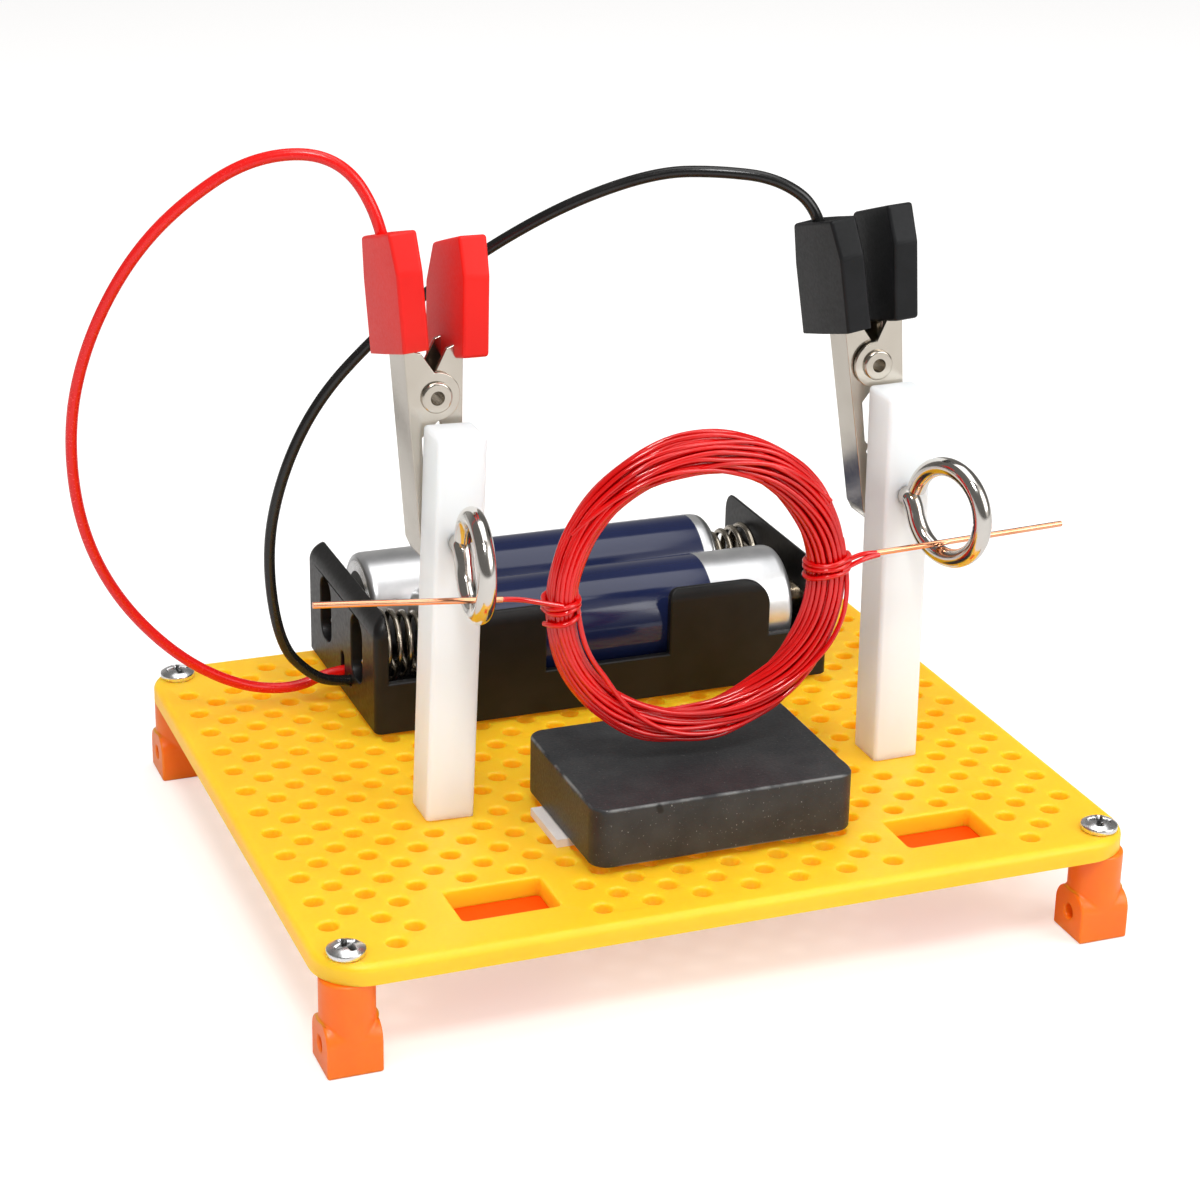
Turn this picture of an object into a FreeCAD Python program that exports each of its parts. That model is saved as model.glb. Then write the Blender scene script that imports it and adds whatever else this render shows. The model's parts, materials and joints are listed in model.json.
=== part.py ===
import FreeCAD, Part

import math
import os
import re

import Sketcher
from FreeCAD import Placement, Rotation, Vector

# A bench demonstration motor: a wire coil turns in two screw eyes over a ferrite
# block, fed by two cells through crocodile clips.
# Origin: on the floor under the middle of the peg board. +X right, +Y back, +Z up. Millimetres.

SIZES = [
    # Peg board and its four legs
    ("board_length", "100"),
    ("board_width", "86.5"),
    ("board_thickness", "2.5"),
    ("board_corner_radius", "6"),
    ("board_edge_round", "0.9"),
    ("peg_hole_radius", "1.15"),
    ("peg_column_pitch", "3"),
    ("peg_row_pitch", "6"),
    ("peg_margin", "3.5"),
    ("peg_keep_off", "1.2"),
    ("slot_length", "11.6"),
    ("slot_width", "7.4"),
    ("slot_corner_radius", "0.6"),
    ("left_slot_inset", "23.6"),
    ("right_slot_inset", "21.4"),
    ("slot_front_inset", "10.1"),
    ("slot_cover_margin", "2"),
    ("slot_cover_thickness", "1.3"),
    ("slot_cover_corner_radius", "0.6"),
    ("leg_height", "11"),
    ("leg_radius", "3.15"),
    ("leg_inset", "3.6"),
    ("foot_size", "6.4"),
    ("foot_height", "6"),
    ("foot_round", "2.4"),
    ("foot_bore_radius", "0.9"),
    ("foot_bore_height", "3"),
    ("leg_screw_radius", "1.1"),
    ("leg_screw_length", "8"),
    ("screw_head_radius", "2.2"),
    ("screw_head_height", "1.3"),
    ("screw_head_round", "0.7"),
    ("screw_slot_length", "2.8"),
    ("screw_slot_width", "0.6"),
    ("screw_slot_depth", "0.7"),
    # Cell holder and cells
    ("holder_width", "31"),
    ("holder_height", "16.4"),
    ("holder_front_y", "12"),
    ("holder_left_x", "-27.45"),
    ("holder_side_wall", "1.2"),
    ("holder_end_wall", "1.8"),
    ("holder_floor", "1.3"),
    ("holder_corner_round", "1"),
    ("holder_end_round", "3"),
    ("holder_tape_thickness", "0.5"),
    ("holder_tape_margin", "3"),
    ("tab_height", "15.2"),
    ("rear_tab_height", "12.6"),
    ("tab_length", "14.1"),
    ("tab_outer_round", "3.8"),
    ("tab_inner_round", "1.3"),
    ("sill_height", "7.3"),
    ("window_length", "17"),
    ("window_sill_height", "6.3"),
    ("rib_width", "2"),
    ("rib_height", "2.4"),
    ("rib_end_gap", "0.3"),
    ("lug_window_width", "5"),
    ("lug_window_height", "8.6"),
    ("lug_window_corner", "2"),
    ("cell_radius", "7"),
    ("cell_length", "50.5"),
    ("cell_label_thickness", "0.15"),
    ("cell_end_round", "0.8"),
    ("cell_button_radius", "2.75"),
    ("cell_button_height", "1.2"),
    ("cell_button_round", "0.4"),
    ("cell_seal_radius", "4.6"),
    ("cell_seal_depth", "0.5"),
    ("cell_side_gap", "0.2"),
    ("cell_seat_gap", "0.25"),
    ("cell_end_gap", "0.3"),
    ("contact_thickness", "0.4"),
    ("contact_width", "10.6"),
    ("contact_height", "11.5"),
    ("bridge_height", "4.2"),
    ("contact_dimple_radius", "2"),
    ("contact_dimple_height", "0.8"),
    ("contact_tail_width", "3.4"),
    ("rivet_radius", "1"),
    ("rivet_head_radius", "1.8"),
    ("rivet_head_height", "0.6"),
    ("cell_spring_wire_radius", "0.4"),
    ("cell_spring_base_radius", "4.7"),
    ("cell_spring_tip_radius", "3.7"),
    ("cell_spring_turns", "4"),
    ("cell_spring_height", "5.4"),
    ("solder_radius", "1.4"),
    ("solder_tip_radius", "0.7"),
    ("solder_height", "1.08"),
    # Posts and screw eyes
    ("post_width", "5.9"),
    ("post_height", "47.4"),
    ("post_round", "0.5"),
    ("left_post_x", "-25.65"),
    ("left_post_front_y", "-12.45"),
    ("left_post_lean_angle", "2"),
    ("right_post_x", "32.3"),
    ("right_post_front_y", "-14.1"),
    ("right_post_lean_angle", "-0.9"),
    ("post_screw_radius", "1"),
    ("post_screw_depth", "5"),
    ("post_screw_clearance", "0.2"),
    ("eye_ring_radius", "5.6"),
    ("eye_wire_radius", "1.15"),
    ("eye_mouth_angle", "15"),
    ("eye_offset", "-0.25"),
    ("eye_thread_radius", "1.1"),
    ("eye_tail_length", "7"),
    ("eye_hole_clearance", "0.05"),
    ("left_eye_turn_angle", "-5"),
    ("left_eye_reach", "7.75"),
    ("right_eye_turn_angle", "18"),
    ("right_eye_reach", "7.4"),
    # Coil and its axle
    ("axle_height", "31.1"),
    ("axle_y", "-20.7"),
    ("axle_wire_radius", "0.4"),
    ("axle_tip_round", "0.1"),
    ("axle_clearance", "0.12"),
    ("coil_middle_x", "2"),
    ("coil_drop", "2"),
    ("coil_outer_half_length", "18.6"),
    ("coil_outer_half_height", "19.2"),
    ("coil_inner_half_length", "13.9"),
    ("coil_inner_half_height", "13.4"),
    ("coil_thickness", "4.6"),
    ("coil_round", "1.8"),
    ("binding_height", "2.6"),
    ("binding_wire", "0.8"),
    ("binding_clearance", "0.3"),
    ("left_binding_height", "29.3"),
    ("right_binding_height", "30.1"),
    ("left_axle_end_x", "-44.2"),
    ("left_axle_slope_angle", "5.4"),
    ("right_axle_end_x", "49.3"),
    ("right_axle_slope_angle", "2"),
    # Ferrite block on its pad
    ("magnet_length", "32.8"),
    ("magnet_width", "23.6"),
    ("magnet_height", "7.35"),
    ("magnet_corner_radius", "2.3"),
    ("magnet_edge_round", "0.35"),
    ("magnet_middle_x", "1.4"),
    ("magnet_middle_y", "-20.5"),
    ("pad_thickness", "1"),
    ("pad_length", "31.4"),
    ("pad_width", "9"),
    ("pad_middle_x", "-0.6"),
    ("pad_middle_y", "-19"),
    # Crocodile clips
    ("clip_half_width", "3.4"),
    ("clip_depth", "6.2"),
    ("clip_sheet", "0.5"),
    ("clip_side_gap", "0.2"),
    ("clip_half_angle", "2.5"),
    ("clip_ear_radius", "2.9"),
    ("clip_ear_gap", "0.3"),
    ("clip_post_gap", "0.3"),
    ("clip_shoulder_height", "6.2"),
    ("clip_shoulder_inner_height", "5.4"),
    ("clip_shoulder_inner_x", "1.35"),
    ("jaw_length", "20"),
    ("jaw_tip_cut", "1.5"),
    ("jaw_throat_x", "2.1"),
    ("jaw_throat_top", "4.6"),
    ("jaw_grip_gap", "0.1"),
    ("jaw_tooth_pitch", "1.5"),
    ("jaw_tooth_depth", "0.4"),
    ("jaw_tooth_count", "7"),
    ("handle_strip_top", "14.8"),
    ("handle_strip_width", "3"),
    ("clip_rivet_radius", "1.2"),
    ("clip_rivet_bore_radius", "0.85"),
    ("clip_rivet_head_radius", "1.85"),
    ("clip_rivet_head_height", "0.5"),
    ("clip_rivet_head_round", "0.3"),
    ("clip_pivot_clearance", "0.05"),
    ("clip_spring_wire_radius", "0.3"),
    ("clip_spring_radius", "1.75"),
    ("clip_spring_turns", "2.5"),
    ("clip_spring_pitch", "0.66"),
    ("clip_spring_leg", "4.6"),
    ("clip_spring_spread", "4"),
    ("clip_spring_bend_radius", "0.34"),
    ("sleeve_bottom", "5.6"),
    ("sleeve_length", "13.8"),
    ("sleeve_crease_height", "9.4"),
    ("sleeve_face_width", "3.1"),
    ("sleeve_waist_width", "3.9"),
    ("sleeve_back_width", "3.8"),
    ("sleeve_front_reach", "5.3"),
    ("sleeve_waist_reach", "1.2"),
    ("sleeve_back_reach", "7.7"),
    ("sleeve_top_front_reach", "3.6"),
    ("lead_sleeve_top_back_reach", "7"),
    ("free_sleeve_top_back_reach", "5.2"),
    ("sleeve_back_drop", "3.6"),
    ("sleeve_top_drop", "2.9"),
    ("sleeve_mouth_gap", "0.1"),
    ("red_clip_height", "50.5"),
    ("red_clip_lean_angle", "2"),
    ("black_clip_height", "49.75"),
    ("black_clip_lean_angle", "6.6"),
    ("red_lead_sleeve_middle", "2.5"),
    ("red_lead_sleeve_slip", "0.6"),
    ("red_free_sleeve_middle", "4"),
    ("red_free_sleeve_slip", "-0.6"),
    ("black_lead_sleeve_middle", "2.8"),
    ("black_lead_sleeve_slip", "-0.2"),
    ("black_free_sleeve_middle", "2.9"),
    ("black_free_sleeve_slip", "0.2"),
    # Leads
    ("lead_radius", "0.7"),
    ("lead_hole_clearance", "0.05"),
    ("lead_end_gap", "0.1"),
    ("lead_exit", "2"),
    ("lead_sleeve_clearance", "0.4"),
    ("lead_sleeve_depth", "5.5"),
    ("lead_sleeve_rise", "1"),
    ("lead_sleeve_x", "2.8"),
    ("lead_sleeve_y", "2.3"),
    ("lead_slot_rise", "1.9"),
    ("red_lead_hole_y", "26.9"),
    ("red_lead_hole_height", "3.5"),
    ("black_lead_hole_y", "23.6"),
    ("black_lead_hole_height", "3.4"),
]

# Sizes that follow from the ones above
DERIVED = [
    ("left_slot_x", "=left_slot_inset - board_length / 2"),
    ("right_slot_x", "=board_length / 2 - right_slot_inset"),
    ("slot_y", "=slot_front_inset - board_width / 2"),
    ("cell_spring_room", "=cell_spring_height + 2 * cell_spring_wire_radius"),
    ("cell_room", "=cell_length + 2 * cell_end_gap + contact_dimple_height + cell_spring_room"),
    ("holder_length", "=cell_room + 2 * contact_thickness + 2 * holder_end_wall"),
    ("holder_middle_x", "=holder_left_x + holder_length / 2"),
]

doc = FreeCAD.newDocument("demonstration_motor")
sheet = doc.addObject("Spreadsheet::Sheet", "sizes")
for row, (alias, text) in enumerate(SIZES + DERIVED, start=1):
    sheet.set(f"A{row}", alias)
    sheet.set(f"B{row}", text)
    sheet.setAlias(f"B{row}", alias)
doc.recompute()

NAMES = {alias for alias, _ in SIZES + DERIVED}
WORD = re.compile(r"[a-z_]+")
X_AXIS, Y_AXIS, Z_AXIS = Vector(1, 0, 0), Vector(0, 1, 0), Vector(0, 0, 1)
UPRIGHT = Rotation()
NEARNESS = 1e-4
HELIX_TURNS_PER_EDGE = 0.5
ALONG_X = Rotation(Y_AXIS, 90)
ALONG_Y = Rotation(X_AXIS, -90)
TURNS = {"x": ALONG_X, "y": ALONG_Y, "z": UPRIGHT}
SIDES = ("left", "right")
CLIPS = {"left": "red", "right": "black"}

pieces = []


def value(alias):
    """A driving dimension, read from the sheet."""
    return float(sheet.get(alias))


def cells(text):
    """The same formula with each alias written as a cell of the sheet."""
    return WORD.sub(lambda w: "sizes." + w[0] if w[0] in NAMES else w[0], str(text))


def bind(item, **formulas):
    for prop, text in formulas.items():
        item.setExpression(prop, cells(text))


def keep(item, name):
    """Registers a finished sub-part under its node name."""
    item.Label = name
    pieces.append(item)
    return item


class Body:
    """A PartDesign body whose features take their sizes from the sheet."""

    def __init__(self, name, placement, kept=True):
        self.body = doc.addObject("PartDesign::Body", name)
        self.body.Placement = placement
        if kept:
            keep(self.body, name)

    def feature(self, kind, name):
        return self.body.newObject("PartDesign::" + kind, name)

    def box(self, name, length, width, height, at, cut=False):
        """A box centred on at in X and Y, standing on at in Z."""
        item = self.feature("SubtractiveBox" if cut else "AdditiveBox", name)
        bind(item, Length=length, Width=width, Height=height)
        item.setExpression("Placement.Base.x", cells(f"({at[0]}) - ({length}) / 2"))
        item.setExpression("Placement.Base.y", cells(f"({at[1]}) - ({width}) / 2"))
        item.setExpression("Placement.Base.z", cells(at[2]))
        return item

    def rod(self, name, radius, length, at, along="z", cut=False):
        """A cylinder that starts at at and runs along an axis."""
        item = self.feature("SubtractiveCylinder" if cut else "AdditiveCylinder", name)
        bind(item, Radius=radius, Height=length)
        item.Placement = Placement(Vector(), TURNS[along])
        for axis, text in zip("xyz", at):
            item.setExpression("Placement.Base." + axis, cells(text))
        return item

    def sketch(self, name, plane, offset="0"):
        """A sketch on one of the body's own planes, or parallel to it."""
        item = self.body.newObject("Sketcher::SketchObject", name)
        origin = self.body.Origin.OriginFeatures
        item.AttachmentSupport = [(next(o for o in origin if o.Role == plane), "")]
        item.MapMode = "FlatFace"
        item.setExpression("AttachmentOffset.Base.z", cells(offset))
        return item

    def outline(self, name, plane, *loops, offset="0"):
        """Closed polygons with every corner bound to a pair of formulas."""
        item = self.sketch(name, plane, offset)
        first = 0
        for points in loops:
            count = len(points)
            start = [Vector(math.cos(turn), math.sin(turn), 0) for turn in spread(count)]
            for index in range(count):
                line = Part.LineSegment(start[index], start[(index + 1) % count])
                item.addGeometry(line, False)
            for index in range(count):
                following = first + (index + 1) % count
                join = Sketcher.Constraint("Coincident", first + index, 2, following, 1)
                item.addConstraint(join)
            for index, point in enumerate(points):
                for kind, text in zip(("DistanceX", "DistanceY"), point):
                    place = Sketcher.Constraint(kind, first + index, 1, 1.0)
                    mark = item.addConstraint(place)
                    item.setExpression(f"Constraints[{mark}]", cells(text))
            first += count
        doc.recompute()
        return item

    def pad(self, name, profile, length, middle=True):
        item = self.feature("Pad", name)
        item.Profile = profile
        item.Midplane = middle
        bind(item, Length=length)
        doc.recompute()
        return item

    def pocket(self, name, profile, length):
        item = self.feature("Pocket", name)
        item.Profile = profile
        item.Midplane = True
        bind(item, Length=length)
        doc.recompute()
        return item

    def fillet(self, name, radius, chosen):
        """Rounds the edges of the tip that the test function chooses."""
        doc.recompute()
        base = self.body.Tip
        edges = [
            f"Edge{number}"
            for number, edge in enumerate(base.Shape.Edges, start=1)
            if chosen(edge)
        ]
        item = self.feature("Fillet", name)
        item.Base = (base, edges)
        bind(item, Radius=radius)
        doc.recompute()
        return item


def spread(count):
    return [2 * math.pi * index / count for index in range(count)]


def runs_along(edge, axis):
    """Whether an edge is a straight line along an axis."""
    if not isinstance(edge.Curve, Part.Line):
        return False
    way = edge.Vertexes[1].Point - edge.Vertexes[0].Point
    return way.cross(axis).Length < NEARNESS * way.Length


def is_upright_at(edge, places):
    """Whether an edge stands upright over one of some (x, y) places."""
    middle = edge.BoundBox.Center
    near = any(math.hypot(middle.x - x, middle.y - y) < NEARNESS for x, y in places)
    return near and runs_along(edge, Z_AXIS)


def is_level_at(edge, places):
    """Whether an edge runs level along X at one of some (y, z) places."""
    middle = edge.BoundBox.Center
    near = any(math.hypot(middle.y - y, middle.z - z) < NEARNESS for y, z in places)
    return near and runs_along(edge, X_AXIS)


def lies_at(edge, axis, place):
    """Whether the whole edge lies in a plane square to an axis."""
    box = edge.BoundBox
    low = Vector(box.XMin, box.YMin, box.ZMin).dot(axis)
    high = Vector(box.XMax, box.YMax, box.ZMax).dot(axis)
    return abs(low - place) < NEARNESS and abs(high - place) < NEARNESS


def lies_at_any(edge, axis, places):
    return any(lies_at(edge, axis, place) for place in places)


def solid(kind, name, placement, **formulas):
    """A Part primitive with its sizes bound to the sheet."""
    item = doc.addObject("Part::" + kind, name)
    bind(item, **formulas)
    item.Placement = placement
    return item


def rod(name, placement, radius, length):
    """A plain cylinder that starts at its placement."""
    return solid("Cylinder", name, placement, Radius=radius, Height=length)


def fuse(name, shapes):
    item = doc.addObject("Part::MultiFuse", name)
    item.Shapes = shapes
    return item


def cut(name, base, tool):
    item = doc.addObject("Part::Cut", name)
    item.Base = base
    item.Tool = tool
    return item


def wire_helix(name, wire_radius, **formulas):
    """Round wire wound along +Z, from the +X side, with its sizes bound to the sheet."""
    line = doc.addObject("Part::Helix", name + "_line")
    line.SegmentLength = HELIX_TURNS_PER_EDGE
    bind(line, **formulas)
    doc.recompute()
    section = doc.addObject("Part::Circle", name + "_section")
    bind(section, Radius=wire_radius)
    section.Placement = shifted(value(formulas["Radius"]), 0, 0, Rotation(X_AXIS, 90))
    winding = doc.addObject("Part::Sweep", name)
    winding.Sections = [section]
    winding.Spine = (line, [f"Edge{number}" for number in range(1, len(line.Shape.Edges) + 1)])
    winding.Solid = True
    winding.Frenet = True
    return winding


def group(name, links):
    item = doc.addObject("Part::Compound", name)
    item.Links = links
    return item


def shifted(x, y, z, turn=UPRIGHT):
    return Placement(Vector(x, y, z), turn)


# Levels and places that several pieces share
board_top = value("leg_height") + value("board_thickness")
axle = Vector(0, value("axle_y"), board_top + value("axle_height"))
holder_base = board_top + value("holder_tape_thickness")
holder_left = value("holder_left_x")
holder_right = holder_left + value("holder_length")
cell_axis_height = (
    holder_base
    + value("holder_floor")
    + value("cell_seat_gap")
    + value("cell_radius")
)
cell_pitch = 2 * value("cell_radius") + value("cell_side_gap")
holder_middle_y = value("holder_front_y") + value("holder_width") / 2
front_cell_y = holder_middle_y - cell_pitch / 2
rear_cell_y = holder_middle_y + cell_pitch / 2
leg_x = value("board_length") / 2 - value("leg_inset")
leg_y = value("board_width") / 2 - value("leg_inset")
LEGS = {
    "leg_front_left": (-leg_x, -leg_y),
    "leg_front_right": (leg_x, -leg_y),
    "leg_rear_left": (-leg_x, leg_y),
    "leg_rear_right": (leg_x, leg_y),
}
POSTS = {
    side: Vector(
        value(f"{side}_post_x"),
        value(f"{side}_post_front_y") + value("post_width") / 2,
        board_top,
    )
    for side in SIDES
}


def peg_places():
    """Centres of the staggered peg holes, clear of screws and slots."""
    places = []
    columns = int(value("board_length") / 2 / value("peg_column_pitch"))
    rows = int(value("board_width") / 2 / value("peg_row_pitch")) + 1
    edge_x = value("board_length") / 2 - value("peg_margin")
    edge_y = value("board_width") / 2 - value("peg_margin")
    for column in range(-columns, columns):
        x = (column + 0.5) * value("peg_column_pitch")
        stagger = 0.5 * ((column + 1) % 2)
        for row in range(-rows, rows + 1):
            y = (row + stagger) * value("peg_row_pitch")
            if abs(x) <= edge_x and abs(y) <= edge_y and is_clear(x, y):
                places.append((x, y))
    return places


def is_clear(x, y):
    """Whether a peg hole here misses every leg, post screw and slot cover."""
    hole = value("peg_hole_radius") + value("peg_keep_off")
    for leg in LEGS.values():
        if math.hypot(x - leg[0], y - leg[1]) < value("leg_radius") + hole:
            return False
    for post in POSTS.values():
        if math.hypot(x - post.x, y - post.y) < value("screw_head_radius") + hole:
            return False
    reach = value("slot_length") / 2 + hole
    near_x = any(abs(x - value(f"{side}_slot_x")) < reach for side in SIDES)
    near_y = abs(y - value("slot_y")) < value("slot_width") / 2 + hole
    return not (near_x and near_y)


def slot_sides():
    half = value("slot_length") / 2
    return [value(f"{side}_slot_x") + end for side in SIDES for end in (-half, half)]


def slot_ends():
    half = value("slot_width") / 2
    return [value("slot_y") - half, value("slot_y") + half]


def peg_board():
    plate = Body("board_blank", shifted(0, 0, value("leg_height")), kept=False)
    plate.box("plate", "board_length", "board_width", "board_thickness", (0, 0, 0))
    plate.fillet("corners", "board_corner_radius", lambda e: runs_along(e, Z_AXIS))
    top = value("board_thickness")
    plate.fillet("top_edge", "board_edge_round", lambda e: lies_at(e, Z_AXIS, top))
    for side in SIDES:
        place = (f"{side}_slot_x", "slot_y", 0)
        plate.box(f"{side}_slot", "slot_length", "slot_width", "board_thickness", place, cut=True)
    corners = {(x, y) for x in slot_sides() for y in slot_ends()}
    plate.fillet("slot_corners", "slot_corner_radius", lambda e: is_upright_at(e, corners))
    for leg_name, (x, y) in LEGS.items():
        plate.rod(f"{leg_name}_hole", "leg_screw_radius", "board_thickness", (x, y, 0), cut=True)
    for side, foot in POSTS.items():
        radius = "post_screw_radius + post_screw_clearance"
        plate.rod(f"{side}_post_hole", radius, "board_thickness", (foot.x, foot.y, 0), cut=True)
    doc.recompute()

    # Hundreds of equal holes are cut at once, as one group of plain cylinders.
    # Each cylinder runs from the floor to as far above the board.
    pins = doc.addObject("Part::Feature", "peg_pins")
    pins.Shape = Part.makeCompound(
        [
            Part.makeCylinder(value("peg_hole_radius"), 2 * board_top, Vector(x, y, 0))
            for x, y in peg_places()
        ]
    )
    keep(cut("peg_board", plate.body, pins), "peg_board")


def leg(name, x, y):
    body = Body(name, shifted(x, y, 0))
    body.box("foot", "foot_size", "foot_size", "foot_height", (0, 0, 0))
    top = value("foot_height")
    body.fillet(
        "foot_shoulders",
        "foot_round",
        lambda e: runs_along(e, X_AXIS) and lies_at(e, Z_AXIS, top),
    )
    height = "leg_height - foot_bore_height"
    body.rod("column", "leg_radius", height, (0, 0, "foot_bore_height"))
    place = ("-foot_size", 0, "foot_bore_height")
    body.rod("cross_bore", "foot_bore_radius", "2 * foot_size", place, "x", cut=True)
    depth = "leg_screw_length - board_thickness"
    body.rod("screw_pilot", "leg_screw_radius", depth, (0, 0, f"leg_height - ({depth})"), cut=True)


def pan_screw(name, shank_radius, shank_length, place):
    """A cross-recess pan head screw whose head stands on place, shank down."""
    shank = rod(name + "_shank", Placement(), shank_radius, shank_length)
    shank.setExpression("Placement.Base.z", cells(f"-({shank_length})"))
    head = rod(name + "_head", Placement(), "screw_head_radius", "screw_head_height")
    doc.recompute()
    domed = doc.addObject("Part::Fillet", name + "_dome")
    domed.Base = head
    rim = next(
        number
        for number, edge in enumerate(head.Shape.Edges, start=1)
        if lies_at(edge, Z_AXIS, value("screw_head_height"))
    )
    domed.Edges = [(rim, value("screw_head_round"), value("screw_head_round"))]
    blank = fuse(name + "_blank", [domed, shank])
    sides = ("screw_slot_length", "screw_slot_width")
    arms = []
    for number, (length, width) in enumerate((sides, sides[::-1])):
        arm = solid("Box", f"{name}_arm_{number}", Placement(), Length=length, Width=width)
        bind(arm, Height="screw_head_height")
        arm.setExpression("Placement.Base.x", cells(f"-({length}) / 2"))
        arm.setExpression("Placement.Base.y", cells(f"-({width}) / 2"))
        arm.setExpression("Placement.Base.z", cells("screw_head_height - screw_slot_depth"))
        arms.append(arm)
    screw = cut(name, blank, fuse(name + "_recess", arms))
    screw.Placement = place
    return screw


def slot_cover(side):
    bottom = value("leg_height") - value("slot_cover_thickness")
    place = shifted(value(f"{side}_slot_x"), value("slot_y"), bottom)
    body = Body(f"{side}_slot_cover", place)
    margin = " + 2 * slot_cover_margin"
    body.box("plate", "slot_length" + margin, "slot_width" + margin, "slot_cover_thickness", (0, 0, 0))
    body.fillet("corners", "slot_cover_corner_radius", lambda e: runs_along(e, Z_AXIS))


def board_and_legs():
    peg_board()
    for name, (x, y) in LEGS.items():
        leg(name, x, y)
    size = ("leg_screw_radius", "leg_screw_length")
    screws = [
        pan_screw(f"leg_screw_{number}", *size, shifted(x, y, board_top))
        for number, (x, y) in enumerate(LEGS.values())
    ]
    keep(group("leg_screws", screws), "leg_screws")
    for side in SIDES:
        slot_cover(side)


def cell_holder():
    body = Body("cell_holder", shifted(value("holder_middle_x"), holder_middle_y, holder_base))
    tape = "holder_tape_thickness"
    inner_length = "(holder_length - 2 * holder_end_wall)"
    body.box("block", "holder_length", "holder_width", f"holder_height - {tape}", (0, 0, 0))
    body.fillet("corners", "holder_corner_round", lambda e: runs_along(e, Z_AXIS))
    top = value("holder_height") - value(tape)
    body.fillet(
        "end_shoulders",
        "holder_end_round",
        lambda e: runs_along(e, X_AXIS) and lies_at(e, Z_AXIS, top),
    )
    body.box(
        "bay",
        inner_length,
        "holder_width - 2 * holder_side_wall",
        "holder_height",
        (0, 0, "holder_floor"),
        cut=True,
    )
    across = ("2 * holder_width", "holder_height")
    body.box("above_tabs", inner_length, *across, (0, 0, f"tab_height - {tape}"), cut=True)
    rear_half = (inner_length, "holder_width / 2", "holder_height")
    rear_place = (0, "holder_width / 4", f"rear_tab_height - {tape}")
    body.box("above_rear_tabs", *rear_half, rear_place, cut=True)
    sill = (0, 0, f"window_sill_height - {tape}")
    body.box("window", "window_length", *across, sill, cut=True)
    sill_length = "(holder_length / 2 - holder_end_wall - window_length / 2 - tab_length)"
    sill_middle = f"(holder_length / 2 - holder_end_wall - {sill_length} / 2)"
    for side in ("-", ""):
        name = "left_sill" if side else "right_sill"
        place = (side + sill_middle, 0, f"sill_height - {tape}")
        body.box(name, sill_length, *across, place, cut=True)
    tab_tops = [value(name) - value(tape) for name in ("tab_height", "rear_tab_height")]
    outer = value("window_length") / 2 + value("tab_length")
    inner = value("window_length") / 2

    def tab_edges(reach):
        def chosen(edge):
            there = abs(abs(edge.BoundBox.Center.x) - reach) < NEARNESS
            high = any(lies_at(edge, Z_AXIS, tab_top) for tab_top in tab_tops)
            return there and runs_along(edge, Y_AXIS) and high

        return chosen

    body.fillet("tab_outer_shoulders", "tab_outer_round", tab_edges(outer))
    body.fillet("tab_inner_shoulders", "tab_inner_round", tab_edges(inner))
    rib_length = f"({inner_length} - 2 * contact_thickness - 2 * rib_end_gap)"
    body.box("rib", rib_length, "rib_width", "rib_height", (0, 0, "holder_floor"))

    # Windows behind the solder lugs, and the holes that the leads leave by
    middle = cell_axis_height - holder_base
    wall_x = "(holder_end_wall - holder_length) / 2"
    window_corners = set()
    for name, y in (("front", front_cell_y), ("rear", rear_cell_y)):
        place = (wall_x, y - holder_middle_y, f"{middle} - lug_window_height / 2")
        size = ("holder_end_wall", "lug_window_width", "lug_window_height")
        body.box(f"{name}_lug_window", *size, place, cut=True)
        half_width = value("lug_window_width") / 2
        half_height = value("lug_window_height") / 2
        window_corners |= {
            (y - holder_middle_y + side * half_width, middle + end * half_height)
            for side in (-1, 1)
            for end in (-1, 1)
        }
    rounding = ("lug_window_corners", "lug_window_corner")
    body.fillet(*rounding, lambda e: is_level_at(e, window_corners))
    start_x = "-holder_length / 2"
    radius = "lead_radius + lead_hole_clearance"
    for colour in CLIPS.values():
        y = f"({colour}_lead_hole_y - {holder_middle_y})"
        height = f"{colour}_lead_hole_height - {tape}"
        body.rod(f"{colour}_lead_hole", radius, "holder_end_wall", (start_x, y, height), "x", cut=True)
    y = f"red_lead_hole_y - {holder_middle_y}"
    height = f"red_lead_hole_height - {tape}"
    slot = ("holder_end_wall", f"2 * ({radius})", "lead_slot_rise")
    body.box("red_slot", *slot, (wall_x, y, height), cut=True)
    top = (start_x, y, f"{height} + lead_slot_rise")
    body.rod("red_slot_top", radius, "holder_end_wall", top, "x", cut=True)
    for name, y in CONTACT_RIVETS.items():
        place = ("holder_length / 2 - holder_end_wall", y - holder_middle_y, middle)
        body.rod(f"{name}_rivet_hole", "rivet_radius", "holder_end_wall", place, "x", True)

    tape_body = Body("holder_tape", shifted(value("holder_middle_x"), holder_middle_y, board_top))
    tape_body.box(
        "strip",
        "holder_length - 2 * holder_tape_margin",
        "holder_width - 2 * holder_tape_margin",
        tape,
        (0, 0, 0),
    )


CONTACT_RIVETS = {"front": front_cell_y, "rear": rear_cell_y}


def contact(name, wall_x, facing, y_low, y_high, dimple_y=None, height="contact_height"):
    """A spring-steel plate on an end wall; facing is +1 where it looks along +X."""
    middle_x = wall_x + facing * value("contact_thickness") / 2
    body = Body(name, shifted(middle_x, 0, cell_axis_height))
    width = y_high - y_low
    place = (0, y_low + width / 2, f"-{height} / 2")
    body.box("plate", "contact_thickness", width, height, place)
    if dimple_y is not None:
        start = 0 if facing > 0 else "-contact_dimple_height - contact_thickness / 2"
        length = "contact_dimple_height + contact_thickness / 2"
        body.rod("dimple", "contact_dimple_radius", length, (start, dimple_y, 0), "x")
    return body


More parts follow.
